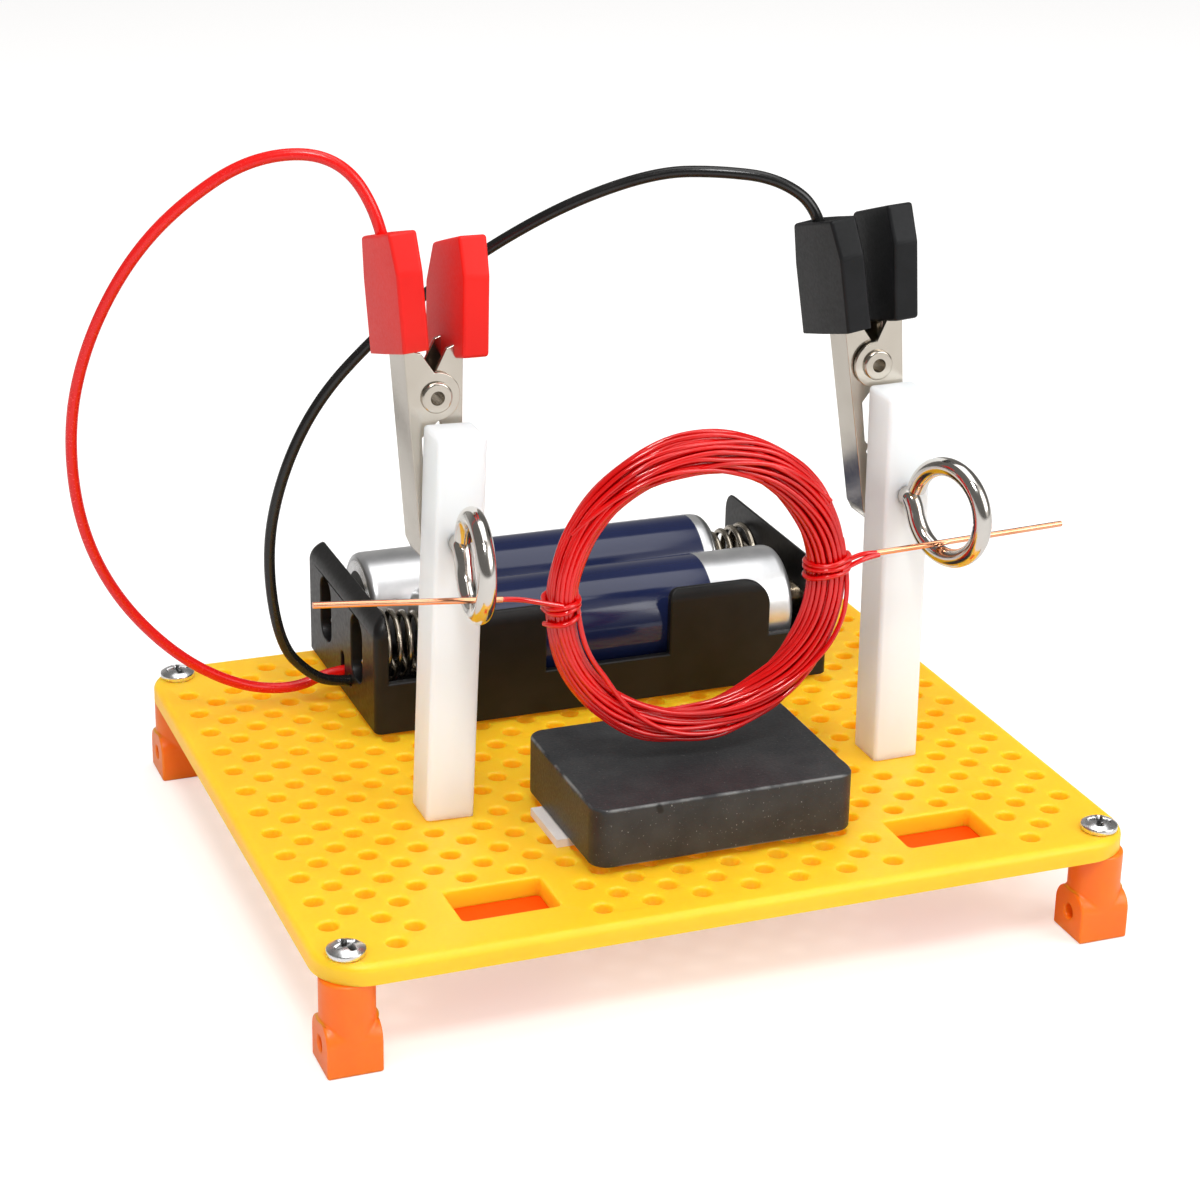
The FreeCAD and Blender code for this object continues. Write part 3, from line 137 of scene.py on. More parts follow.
class Finish:
    """A material with clouded colour, uneven gloss and a fine relief."""

    def __init__(self, name, dark, light, gloss, cloud=220, grain=1800, relief=0.1, **sockets):
        self.material = bpy.data.materials.new(name)
        self.material.use_nodes = True
        self.tree = self.material.node_tree
        self.shader = self.tree.nodes["Principled BSDF"]
        place = add(self.tree, "ShaderNodeTexCoord").outputs["Object"]
        scaled = {"Vector": place, "Scale": sockets.pop("stretch", (1, 1, 1))}
        self.where = add(self.tree, "ShaderNodeMapping", scaled).outputs[0]
        spots = clouds(self.tree, self.where, cloud)
        self.paint(ramp(self.tree, spots, (0.3, dark), (0.7, light)))
        grains = clouds(self.tree, self.where, grain, 6.0)
        self.gloss(fade(self.tree, grains, 0.25, 0.75, *gloss))
        self.relief(grains, relief)
        for socket, given in sockets.items():
            self.shader.inputs[socket.replace("_", " ")].default_value = given

    def paint(self, colour):
        self.colour = colour
        self.tree.links.new(colour, self.shader.inputs["Base Color"])

    def gloss(self, roughness):
        self.tree.links.new(roughness, self.shader.inputs["Roughness"])

    def relief(self, height, strength):
        sizes = {"Height": height, "Strength": strength, "Distance": RELIEF_DEPTH * MM}
        bump = add(self.tree, "ShaderNodeBump", sizes).outputs[0]
        self.tree.links.new(bump, self.shader.inputs["Normal"])


def moulded(name, dark, light, glow, gloss=(0.3, 0.42), reach=3.0, **sockets):
    """Injection moulded plastic with a soft sheen and a little light inside."""
    return Finish(
        name,
        dark,
        light,
        gloss,
        cloud=90,
        grain=2600,
        relief=0.05,
        Subsurface_Weight=glow,
        Subsurface_Scale=reach * MM,
        Subsurface_Radius=(1.0, 0.5, 0.12),
        **sockets,
    )


def metal(name, dark, light, gloss, relief=0.01, grain=1200, **sockets):
    return Finish(name, dark, light, gloss, relief=relief, grain=grain, Metallic=1.0, **sockets)


def zinc_finish():
    """Bright zinc on the screws, with shadow and dirt down in the cross recess."""
    zinc = metal("zinc_plate", (0.72, 0.72, 0.73), (0.88, 0.88, 0.89), (0.22, 0.32))
    recess = painted(zinc.tree, "recess")
    zinc.paint(blend_colours(zinc.tree, recess, zinc.colour, (0.10, 0.10, 0.10)))
    return zinc


def cell_wrap_finish():
    """Navy film with a silver band at each cell's button end and a dark ring at its flat end."""
    film = Finish(
        "cell_wrap_film",
        (0.008, 0.013, 0.050),
        (0.013, 0.020, 0.070),
        (0.10, 0.17),
        cloud=60,
        grain=700,
        relief=0.01,
    )
    tree = film.tree
    band = painted(tree, "silver_band")
    ring = painted(tree, "end_ring")
    spots = clouds(tree, film.where, 400)
    silver = ramp(tree, spots, (0.3, (0.66, 0.67, 0.68)), (0.7, (0.78, 0.78, 0.79)))
    banded = blend_colours(tree, band, film.colour, silver)
    film.paint(blend_colours(tree, ring, banded, (0.012, 0.012, 0.013)))
    tree.links.new(calc(tree, "MULTIPLY", band, 0.9), film.shader.inputs["Metallic"])
    film.gloss(fade(tree, band, 0.0, 1.0, 0.13, 0.34))
    return film


def ferrite_finish():
    """Sintered dark grey ferrite: fine grain, small pits, and pale edges that are partly wear and
    partly a painted highlight.
    """
    block = Finish(
        "ferrite_block",
        (0.022, 0.023, 0.025),
        (0.036, 0.037, 0.038),
        (0.36, 0.52),
        cloud=300,
        grain=2600,
        relief=0.25,
        Specular_IOR_Level=0.35,
    )
    tree = block.tree
    wear_and_highlight = painted(tree, "wear_and_highlight_edge")
    broken = fade(tree, clouds(tree, block.where, 300, 5.0), 0.40, 0.56)
    specks = fade(tree, clouds(tree, block.where, 3800, 2.0), 0.68, 0.80)
    pits = fade(tree, clouds(tree, block.where, 330, 1.0), 0.76, 0.80)
    # Pale near the edges, partly wear and partly a painted highlight, and pale in fine specks of
    # grain.
    pale = calc(tree, "MAXIMUM", calc(tree, "MULTIPLY", wear_and_highlight, broken), specks)
    wear_and_highlight_colour = blend_colours(tree, pale, block.colour, (0.26, 0.26, 0.25))
    block.paint(blend_colours(tree, pits, wear_and_highlight_colour, (0.008, 0.008, 0.008)))
    return block


def enamel_finish():
    """Copper wire under glossy red lacquer."""
    return Finish(
        "red_wire_enamel",
        (0.54, 0.001, 0.001),
        (0.72, 0.002, 0.002),
        (0.09, 0.13),
        cloud=160,
        grain=1200,
        relief=0.002,
        Specular_IOR_Level=0.7,
    )


FINISHES = {
    # The board carries a painted glow: a faint orange emission of its own that brightens it and its
    # holes.
    "board_plastic": moulded(
        "yellow_board",
        (0.98, 0.49, 0.010),
        (1.0, 0.53, 0.018),
        0.9,
        (0.36, 0.48),
        6.0,
        Emission_Color=(1.0, 0.42, 0.01, 1.0),
        Emission_Strength=0.13,
    ),
    "leg_plastic": moulded("orange_leg", (1.0, 0.16, 0.004), (1.0, 0.20, 0.006), 0.6),
    "cover_plastic": moulded(
        "orange_cover", (0.80, 0.070, 0.001), (0.86, 0.085, 0.002), 0.1, Specular_IOR_Level=0.2
    ),
    "screw_steel": zinc_finish(),
    "holder_plastic": Finish(
        "black_moulding",
        (0.005, 0.005, 0.005),
        (0.010, 0.009, 0.009),
        (0.32, 0.46),
        grain=1500,
        relief=0.08,
        Specular_IOR_Level=0.3,
    ),
    "foam_tape": Finish("tape_foam", (0.6, 0.6, 0.58), (0.74, 0.74, 0.72), (0.7, 0.9), relief=0.5),
    "contact_steel": metal("contact_nickel", (0.34, 0.30, 0.24), (0.46, 0.41, 0.34), (0.20, 0.30)),
    "solder": metal("tin_solder", (0.55, 0.52, 0.47), (0.72, 0.70, 0.66), (0.18, 0.36), 0.1),
    "cell_steel": metal("cell_can_steel", (0.60, 0.60, 0.60), (0.74, 0.74, 0.74), (0.14, 0.28)),
    "cell_wrap": cell_wrap_finish(),
    "cell_seal": Finish("seal_washer", (0.03, 0.03, 0.03), (0.05, 0.05, 0.05), (0.5, 0.6)),
    "post_plastic": Finish(
        "white_nylon",
        (0.86, 0.92, 0.97),
        (0.88, 0.94, 0.99),
        (0.32, 0.42),
        cloud=120,
        grain=900,
        relief=0.03,
        stretch=(1, 1, 0.15),
        Subsurface_Weight=0.8,
        Subsurface_Scale=4 * MM,
        Subsurface_Radius=(1.0, 0.95, 0.9),
    ),
    "eye_steel": metal("eye_nickel", (0.66, 0.63, 0.59), (0.74, 0.71, 0.67), (0.10, 0.15), 0.004),
    "enamelled_wire": enamel_finish(),
    "bare_copper": metal(
        "bare_copper", (0.84, 0.36, 0.19), (0.95, 0.48, 0.29), (0.12, 0.22), 0.008
    ),
    "ferrite": ferrite_finish(),
    "foam_pad": Finish("pad_foam", (0.74, 0.68, 0.64), (0.84, 0.79, 0.75), (0.7, 0.9), relief=0.5),
    "clip_steel": metal(
        "clip_nickel", (0.56, 0.51, 0.44), (0.62, 0.57, 0.50), (0.17, 0.23), cloud=300, relief=0.003
    ),
    "red_grip": moulded(
        "red_vinyl",
        (0.76, 0.008, 0.005),
        (0.82, 0.013, 0.008),
        0.25,
        (0.38, 0.50),
        Specular_IOR_Level=0.3,
    ),
    "black_grip": Finish(
        "black_vinyl",
        (0.006, 0.0065, 0.007),
        (0.011, 0.0115, 0.013),
        (0.40, 0.52),
        grain=2400,
        relief=0.08,
        Specular_IOR_Level=0.22,
    ),
    "red_insulation": moulded(
        "red_insulation", (0.72, 0.005, 0.004), (0.78, 0.008, 0.006), 0.15, (0.2, 0.3)
    ),
    "black_insulation": Finish(
        "black_insulation", (0.006, 0.006, 0.006), (0.011, 0.011, 0.011), (0.2, 0.3), relief=0.02
    ),
}
SLOTS = {item["node"]: item["material_slot"] for item in frame["record"]["subparts"]}


def finish_of(node_name):
    return FINISHES[SLOTS[node_name]].material


def dress_nodes():
    """Every CAD node gets the finish of its own slot."""
    for name, item in nodes.items():
        item.data.materials.clear()
        item.data.materials.append(finish_of(name))


# ---------------- making pieces


def settle(item, body, slot_name, *stands_for):
    """Gives a finished piece its finish, its body and the nodes that it stands for."""
    item.data.materials.clear()
    item.data.materials.append(FINISHES[slot_name].material)
    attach(item, body)
    if stands_for:
        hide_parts(*stands_for)
    return item


def body_of(node_name):
    return nodes[node_name]["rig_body"]


def show(name, data):
    item = bpy.data.objects.new(name, data)
    bpy.context.scene.collection.objects.link(item)
    return item


def round_edges(shape, sharper_than, radius, segments, clamped):
    """Rounds the edges at which two faces meet at more than an angle in degrees."""
    edges = [
        edge
        for edge in shape.edges
        if len(edge.link_faces) == 2 and edge.calc_face_angle(0) > math.radians(sharper_than)
    ]
    bmesh.ops.bevel(
        shape,
        geom=edges,
        offset=radius * MM,
        segments=segments,
        profile=0.5,
        affect="EDGES",
        clamp_overlap=clamped,
    )


def mesh_from(name, shape):
    mesh = bpy.data.meshes.new(name)
    shape.to_mesh(mesh)
    shape.free()
    mesh.shade_smooth()
    return mesh


def even_normals(item):
    """Keeps flat faces flat beside their rounded edges."""
    smoother = item.modifiers.new("even_normals", "WEIGHTED_NORMAL")
    smoother.weight = 80
    smoother.keep_sharp = True


def merged_copy(node_name, flat=True):
    """A copy of a CAD node with its points joined and, if wanted, its flat faces whole."""
    shape = bmesh.new()
    shape.from_mesh(nodes[node_name].data)
    bmesh.ops.remove_doubles(shape, verts=shape.verts, dist=0.001 * MM)
    if flat:
        bmesh.ops.dissolve_limit(
            shape, angle_limit=math.radians(0.2), verts=shape.verts, edges=shape.edges
        )
    return shape


def softened(node_name, radius, segments=3, sharp=28):
    """A copy of a CAD node with its sharp edges rounded, which stands for the node."""
    shape = merged_copy(node_name)
    round_edges(shape, sharp, radius, segments, clamped=False)
    name = node_name + "_softened"
    item = show(name, mesh_from(name, shape))
    even_normals(item)
    return settle(item, body_of(node_name), SLOTS[node_name], node_name)


def turned(name, profile, start, way, steps=64):
    """A closed profile of (along, radius) pairs turned about an axis that runs from start."""
    axis = way.normalized()
    side = axis.orthogonal().normalized()
    other = axis.cross(side)
    shape = bmesh.new()
    rings = []
    for step in range(steps):
        angle = 2 * math.pi * step / steps
        out = side * math.cos(angle) + other * math.sin(angle)
        rings.append([shape.verts.new((start + axis * t + out * r) * MM) for t, r in profile])
    for ring, following in zip(rings, rings[1:] + rings[:1]):
        for index in range(len(profile)):
            after = (index + 1) % len(profile)
            shape.faces.new((ring[index], ring[after], following[after], following[index]))
    bmesh.ops.recalc_face_normals(shape, faces=shape.faces)
    return mesh_from(name, shape)


# ---------------- Geometry Nodes


class Builder:
    """A Geometry Nodes tree with named inputs, run once and left as a plain mesh."""

    def __init__(self, name):
        self.tree = bpy.data.node_groups.new(name, "GeometryNodeTree")
        self.tree.is_modifier = True
        self.sockets = {}
        self.tree.interface.new_socket(
            "Geometry", in_out="OUTPUT", socket_type="NodeSocketGeometry"
        )
        self.given = self.tree.nodes.new("NodeGroupInput")
        self.input("Geometry", "Geometry")
        self.input("Material", "Material")

    def input(self, name, kind="Float", default=None):
        socket = self.tree.interface.new_socket(
            name, in_out="INPUT", socket_type="NodeSocket" + kind
        )
        if default is not None:
            socket.default_value = default
        self.sockets[name] = socket.identifier
        return self.given.outputs[name]

    def item(self, kind, inputs=None, **settings):
        """A geometry node, or a shader node where its kind says so."""
        prefix = "" if kind.startswith("ShaderNode") else "GeometryNode"
        return add(self.tree, prefix + kind, inputs, **settings)

    def node(self, kind, inputs=None, **settings):
        """The first output of a new node."""
        return self.item(kind, inputs, **settings).outputs[0]

    def join(self, *parts):
        together = self.item("JoinGeometry")
        for part in parts:
            self.tree.links.new(part, together.inputs[0])
        return together.outputs[0]

    def circle(self, radius, steps):
        return self.node("CurvePrimitiveCircle", {"Resolution": steps, "Radius": radius})

    def shape_of(self, source):
        sockets = self.item("ObjectInfo", {"Object": source}, transform_space="ORIGINAL").outputs
        return sockets["Geometry"]

    def raised(self, geometry, height):
        lift = self.node("ShaderNodeCombineXYZ", {"Z": height})
        return self.node("Transform", {"Geometry": geometry, "Translation": lift})

    def on_points(self, shape, turned=False):
        """The shape on every given point, turned by the point's own angles where wanted."""
        inputs = {"Points": self.given.outputs["Geometry"], "Instance": shape}
        if turned:
            inputs["Rotation"] = self.attribute("turn", "FLOAT_VECTOR")
        return self.node("InstanceOnPoints", inputs)

    def calc(self, operation, *values):
        return calc(self.tree, operation, *values)

    def attribute(self, name, kind="FLOAT"):
        return self.node("InputNamedAttribute", {"Name": name}, data_type=kind)

    def tube(self, curve, radius, sides):
        """Round wire along every spline."""
        ring = self.circle(radius, sides)
        inputs = {"Curve": curve, "Profile Curve": ring, "Fill Caps": True}
        return self.node("CurveToMesh", inputs)

    def finish(self, geometry):
        """Ends the tree: smooth faces, real geometry and the material."""
        smooth = self.node("SetShadeSmooth", {"Geometry": geometry})
        real = self.node("RealizeInstances", {"Geometry": smooth})
        inputs = {"Geometry": real, "Material": self.given.outputs["Material"]}
        last = self.tree.nodes.new("NodeGroupOutput")
        self.tree.links.new(self.node("SetMaterial", inputs), last.inputs[0])

    def run(self, name, data, slot_name, **sizes):
        """Runs the tree on some data and returns the object with a plain mesh."""
        source = show(name + "_source", data)
        modifier = source.modifiers.new(name, "NODES")
        modifier.node_group = self.tree
        modifier[self.sockets["Material"]] = FINISHES[slot_name].material
        for key, given in sizes.items():
            modifier[self.sockets[key]] = given
        bpy.context.view_layer.update()
        ready = source.evaluated_get(bpy.context.evaluated_depsgraph_get())
        mesh = bpy.data.meshes.new_from_object(ready)
        mesh.name = name
        bpy.data.objects.remove(source)
        return show(name, mesh)


def wire_builder():
    """Wire of one thickness along the splines it is given."""
    builder = Builder("wire_along_path")
    radius = builder.input("wire_radius")
    sides = builder.input("sides", "Int", 12)
    builder.finish(builder.tube(builder.given.outputs["Geometry"], radius, sides))
    return builder


def spring_builder():
    """A spring with a dead turn at each end, wound from the points it stands on."""
    builder = Builder("wound_spring")
    wire, base, tip, height, turns = map(
        builder.input, ("wire_radius", "base_radius", "tip_radius", "height", "turns")
    )
    spiral = builder.node(
        "CurveSpiral",
        {
            "Resolution": 48,
            "Rotations": turns,
            "Start Radius": base,
            "End Radius": tip,
            "Height": height,
        },
    )
    foot = builder.circle(base, 48)
    top = builder.raised(builder.circle(tip, 48), height)
    wound = builder.tube(builder.join(spiral, foot, top), wire, 12)
    builder.finish(builder.on_points(wound, turned=True))
    return builder


def coil_builder():
    """Turns of wire round an oval; each point given is a turn's place in the bundle."""
    builder = Builder("coil_turns")

    def times(first, second):
        return builder.calc("MULTIPLY", first, second)

    def plus(first, second):
        return builder.calc("ADD", first, second)

    def minus(first, second):
        return builder.calc("SUBTRACT", first, second)

    half_length = builder.input("half_length")
    half_height = builder.input("half_height")
    middle = builder.input("middle", "Vector")
    width, wider_right, wider_top, wider_sides, depth = map(builder.input, BUNDLE)
    twist, slack, wire = map(builder.input, ("twist", "slack", "wire_radius"))

    loops = builder.on_points(builder.circle(1.0, 128))
    real = builder.node("RealizeInstances", {"Geometry": loops})
    place = builder.attribute("place", "FLOAT_VECTOR")
    turn = builder.attribute("turn")
    factor = builder.node("SplineParameter")
    angle = times(factor, 2 * math.pi)
    cosine = builder.calc("COSINE", angle)
    sine = builder.calc("SINE", angle)

    # The bundle rolls to and fro along the way, and each turn wanders a little by itself.
    roll = plus(
        builder.calc("SINE", plus(angle, 0.9)), builder.calc("SINE", plus(times(angle, 2), 2.1))
    )
    inputs = {"Vector": place, "Angle": times(roll, twist)}
    rolled = builder.node("ShaderNodeVectorRotate", inputs, rotation_type="Z_AXIS")
    spot = builder.item("ShaderNodeSeparateXYZ", {0: rolled}).outputs
    seed = builder.node("ShaderNodeCombineXYZ", {"X": cosine, "Y": sine, "Z": times(turn, 5.3)})
    inputs = {"Vector": seed, "Scale": 1.3, "Detail": 1.0}
    wander = builder.item("ShaderNodeTexNoise", inputs).outputs[1]
    drift = builder.item("ShaderNodeSeparateXYZ", {0: wander}).outputs

    # Loose at the top and the bottom, held together by the bindings at the sides.
    loose = times(sine, sine)
    freedom = times(slack, plus(times(loose, 0.75), 0.25))

    def drifted(number):
        return times(minus(drift[number], 0.5), freedom)

    spread = plus(width, times(wider_right, cosine))
    spread = plus(spread, times(wider_top, sine))
    spread = plus(spread, times(wider_sides, minus(times(cosine, cosine), loose)))
    outward = minus(drifted(0), times(minus(1.0, spot[0]), spread))
    sideways = plus(times(spot[1], depth), drifted(1))
    along = times(plus(half_length, outward), cosine)
    up = times(plus(half_height, outward), sine)
    on_loop = builder.node("ShaderNodeCombineXYZ", {"X": along, "Y": sideways, "Z": up})
    moved = builder.node("ShaderNodeVectorMath", {0: on_loop, 1: middle}, operation="ADD")
    laid = builder.node("SetPosition", {"Geometry": real, "Position": moved})
    builder.finish(builder.tube(laid, wire, 8))
    return builder


def head_builder():
    """A screw head on each seat, turned by the seat's own angle."""
    builder = Builder("heads_on_seats")
    head = builder.shape_of(builder.input("head", "Object"))
    builder.finish(builder.on_points(head, turned=True))
    return builder


def seats(name, places, **attributes):
    """Loose points in millimetres, each with its own attributes."""
    mesh = bpy.data.meshes.new(name)
    mesh.from_pydata([Vector(p) * MM for p in places], [], [])
    for key, values in attributes.items():
        kind = "FLOAT" if isinstance(values[0], float) else "FLOAT_VECTOR"
        layer = mesh.attributes.new(key, kind, "POINT")
        for index, given in enumerate(values):
            if kind == "FLOAT":
                layer.data[index].value = given
            else:
                layer.data[index].vector = given
    return mesh


def empty_curve(name):
    curve = bpy.data.curves.new(name, "CURVE")
    curve.dimensions = "3D"
    return curve


def add_spline(curve, kind, points):
    """A spline through or along points in millimetres."""
    spline = curve.splines.new(kind)
    spline.points.add(len(points) - 1)
    for index, point in enumerate(points):
        spline.points[index].co = (*(Vector(point) * MM), 1)
    return spline


def path(name, *lines_along):
    """Smooth splines along a wire's guide points, in millimetres."""
    curve = empty_curve(name)
    curve.resolution_u = 12
    for points in lines_along:
        spline = add_spline(curve, "NURBS", points)
        spline.order_u = 4
        spline.use_endpoint_u = True
    return curve


# ---------------- camera and leads

# In millimetres and degrees: azimuth, elevation and roll.
CAMERA_PLACE = (-119.327, -298.230, 162.105)
CAMERA_TURN = (21.429, 21.818, 1.118)
CAMERA_LENS = 84.509


def photo_camera():
    """Looks slightly down on the motor from the front left."""
    azimuth, elevation, roll = map(math.radians, CAMERA_TURN)
    ahead = Vector(
        (
            math.sin(azimuth) * math.cos(elevation),
            math.cos(azimuth) * math.cos(elevation),
            -math.sin(elevation),
        )
    )
    level = ahead.cross(Vector((0, 0, 1))).normalized()
    upward = level.cross(ahead)
    right = level * math.cos(roll) + upward * math.sin(roll)
    above = upward * math.cos(roll) - level * math.sin(roll)
    camera = bpy.data.cameras.new("camera")
    camera.lens = CAMERA_LENS
    camera.clip_start = 0.01
    camera.clip_end = 20
    item = show("camera", camera)
    turn = Matrix((right, above, -ahead)).transposed()
    item.matrix_world = Matrix.Translation(Vector(CAMERA_PLACE) * MM) @ turn.to_4x4()
    bpy.context.scene.camera = item


LEADS = {
    "red": (
        131.7,
        [
            (-25.75, 26.9, 17.0), (-29.45, 26.9, 17.0), (-34.1, 26.7, 15.3),
            (-41.5, 26.3, 16.9), (-49.8, 25.5, 22.7), (-57.3, 24.3, 32.2),
            (-61.7, 21.5, 43.5), (-62.8, 18.6, 56.1), (-61.0, 15.5, 66.8),
            (-56.8, 11.9, 76.9), (-51.2, 8.5, 84.4), (-42.9, 4.9, 90.7),
            (-33.9, 1.6, 90.9), (-29.53, -0.85, 83.11), (-29.02, -0.85, 76.63),
        ],
    ),
    "black": (
        125.4,
        [
            (-25.75, 23.6, 16.9), (-29.45, 23.6, 16.9), (-32.8, 23.6, 18.5),
            (-36.7, 23.5, 23.2), (-38.2, 23.1, 35.7), (-36.2, 22.3, 46.3),
            (-31.9, 20.6, 56.1), (-25.3, 18.2, 64.1), (-18.0, 15.5, 71.1),
            (-10.2, 12.4, 77.1), (-2.2, 8.9, 82.0), (6.2, 5.4, 85.3),
            (12.2, 2.0, 85.8), (19.1, -0.8, 85.1), (24.09, -2.5, 81.16),
            (25.12, -2.5, 74.74),
        ],
    ),
}
LEAD_RADIUS = 0.7


def lay_lead(colour):
    """An insulated lead from the cell holder to its clip."""
    length, points = LEADS[colour]
    curve = empty_curve(f"{colour}_lead_line")
    curve.resolution_u = 16
    curve.bevel_depth = LEAD_RADIUS * MM
    curve.bevel_resolution = 6
    curve.use_fill_caps = True
    spline = add_spline(curve, "NURBS", points)
    spline.order_u = 3
    spline.use_endpoint_u = True
    item = show(f"{colour}_lead_cord", curve)
    settle(item, "stand", f"{colour}_insulation", f"{colour}_lead")


# ---------------- board and legs


def board_lines():
    """The board's outline, its slots and the centres of its round holes, in millimetres."""
    shape = merged_copy("peg_board", flat=False)
    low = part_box("peg_board")[0].z
    rims = {
        edge
        for edge in shape.edges
        if all(abs(v.co.z - low) < 1e-6 for v in edge.verts)
        and any(f.normal.z > -0.9 for f in edge.link_faces)
    }
    loops = []
    while rims:
        edge = rims.pop()
        first, here = edge.verts
        loop = [first.co.copy()]
        while here != first:
            loop.append(here.co.copy())
            edge = next(e for e in here.link_edges if e in rims)
            rims.remove(edge)
            here = edge.other_vert(here)
        loops.append([(p.x / MM, p.y / MM, 0.0) for p in loop])
    shape.free()
    loops.sort(key=lambda loop: max(p[0] for p in loop) - min(p[0] for p in loop))
    round_holes = loops[:-3]
    centres = [tuple(sum(c) / len(loop) for c in zip(*loop)) for loop in round_holes]
    return loops[-1], loops[-3:-1], centres


def counterclockwise(loop, wanted=True):
    area = sum(a[0] * b[1] - b[0] * a[1] for a, b in zip(loop, loop[1:] + loop[:1]))
    return loop if (area > 0) == wanted else loop[::-1]


def straight_lines(name, loops, closed=True):
    """Straight-sided splines, for outlines and wall profiles."""
    curve = empty_curve(name)
    for points in loops:
        add_spline(curve, "POLY", points).use_cyclic_u = closed
    return show(name, curve)


def wall_profile(name, round_top, round_foot, steps):
    """The wall's section, from the top face over its rounded edge down to the bottom face."""
    low, high = (corner.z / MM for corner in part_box("peg_board"))
    turns = [math.pi / 2 * step / steps for step in range(steps + 1)]
    down = [(round_top * (math.sin(t) - 1), round_top * (1 - math.cos(t)) - high, 0) for t in turns]
    under = [(0, -low - round_foot, 0), (-round_foot, -low, 0)]
    return straight_lines(name, [down + under], closed=False)


def sheet_builder():
    """A moulded sheet with rounded rims, from its outline, its slots and its hole centres."""
    builder = Builder("perforated_sheet")
    outline, slots, edge_profile, rim_profile = [
        builder.shape_of(builder.input(name, "Object"))
        for name in ("outline", "slots", "edge_profile", "rim_profile")
    ]
    edge_round, rim_round, foot_round, hole_radius, top, foot = map(
        builder.input, ("edge_round", "rim_round", "foot_round", "hole_radius", "top", "foot")
    )

    def levelled(curve):
        return builder.node("SetCurveNormal", {"Curve": curve}, mode="Z_UP")

    inward = builder.node("ReverseCurve", {"Curve": builder.circle(hole_radius, 24)})
    holes = builder.node("RealizeInstances", {"Geometry": builder.on_points(inward)})
    outside = levelled(outline)
    inside = levelled(builder.join(slots, holes))
    parts = [
        builder.node("CurveToMesh", {"Curve": curve, "Profile Curve": profile})
        for curve, profile in ((outside, edge_profile), (inside, rim_profile))
    ]
    normal = builder.node("InputNormal")

    def drawn_in(curve, reach):
        inputs = {0: normal, "Scale": builder.calc("MULTIPLY", reach, -1.0)}
        back = builder.node("ShaderNodeVectorMath", inputs, operation="SCALE")
        return builder.node("SetPosition", {"Geometry": curve, "Offset": back})

    rounds = ((top, edge_round, rim_round), (foot, foot_round, foot_round))
    for level, outer_round, inner_round in rounds:
        rims = builder.join(drawn_in(outside, outer_round), drawn_in(inside, inner_round))
        face = builder.node("FillCurve", {"Curve": rims})
        if level is foot:
            face = builder.node("FlipFaces", {"Mesh": face})
        parts.append(builder.raised(face, level))
    inputs = {"Geometry": builder.join(*parts), "Distance": 1e-6}
    builder.finish(builder.node("MergeByDistance", inputs))
    return builder


EDGE_ROUND = 0.9
RIM_ROUND = 0.3
FOOT_ROUND = 0.12
HOLE_RADIUS = 1.15


def peg_board():
    """The yellow board: every hole, slot and side wall has its rounded rim."""
    low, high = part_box("peg_board")
    outline, slots, centres = board_lines()
    helpers = {
        "outline": straight_lines("board_outline", [counterclockwise(outline)]),
        "slots": straight_lines("board_slots", [counterclockwise(s, False) for s in slots]),
        "edge_profile": wall_profile("edge_profile", EDGE_ROUND, FOOT_ROUND, 5),
        "rim_profile": wall_profile("rim_profile", RIM_ROUND, FOOT_ROUND, 3),
    }
    item = sheet_builder().run(
        "peg_board_rims",
        seats("hole_centres", centres),
        "board_plastic",
        edge_round=EDGE_ROUND * MM,
        rim_round=RIM_ROUND * MM,
        foot_round=FOOT_ROUND * MM,
        hole_radius=HOLE_RADIUS * MM,
        top=high.z,
        foot=low.z,
        **helpers,
    )
    for helper in helpers.values():
        bpy.data.objects.remove(helper)
    even_normals(item)
    settle(item, "stand", "board_plastic", "peg_board")


def pan_head():
    """A domed head with a worn cross recess, round Z, its seat at the origin."""
    radius, height, rings, steps = 2.2, 1.3, 26, 72
    arm_width, arm_length, recess_depth = 0.46, 1.5, 0.62
    angles = [2 * math.pi * step / steps for step in range(steps)]
    shape = bmesh.new()
    layer = shape.verts.layers.float.new("recess")

    def cross(reach, angle):
        beside, along = sorted((abs(reach * math.cos(angle)), abs(reach * math.sin(angle))))
        if along >= arm_length:
            return 0.0
        groove = max(0.0, 1 - (beside / (arm_width - 0.10 * along / 1.4)) ** 4)
        return groove * min(1.0, (arm_length - along) / 0.3)

    def surface(reach, angle):
        dome = height - 0.62 * (reach / radius) ** 2.6
        return dome - recess_depth * cross(reach, angle) * (1.15 - 0.25 * reach)

    def ring(reach, height_at):
        spots = [(reach * math.cos(a), reach * math.sin(a), height_at(reach, a)) for a in angles]
        return [shape.verts.new([size * MM for size in spot]) for spot in spots]

    top = shape.verts.new((0, 0, surface(0, 0) * MM))
    top[layer] = 1.0
    rows = []
    for number in range(1, rings + 1):
        reach = radius * number / rings
        rows.append(ring(reach, surface))
        for vertex, angle in zip(rows[-1], angles):
            vertex[layer] = cross(reach, angle) ** 0.5
    for drop, reach in ((0.45, radius + 0.02), (0.2, radius), (0.0, radius - 0.05)):
        rows.append(ring(reach, lambda *place: drop))
    for step in range(steps):
        after = (step + 1) % steps
        shape.faces.new((top, rows[0][step], rows[0][after]))
        for row, outer in zip(rows, rows[1:]):
            shape.faces.new((row[step], outer[step], outer[after], row[after]))
    shape.faces.new(reversed(rows[-1]))
    bmesh.ops.recalc_face_normals(shape, faces=shape.faces)
    return show("pan_head_pattern", mesh_from("pan_head_pattern", shape))


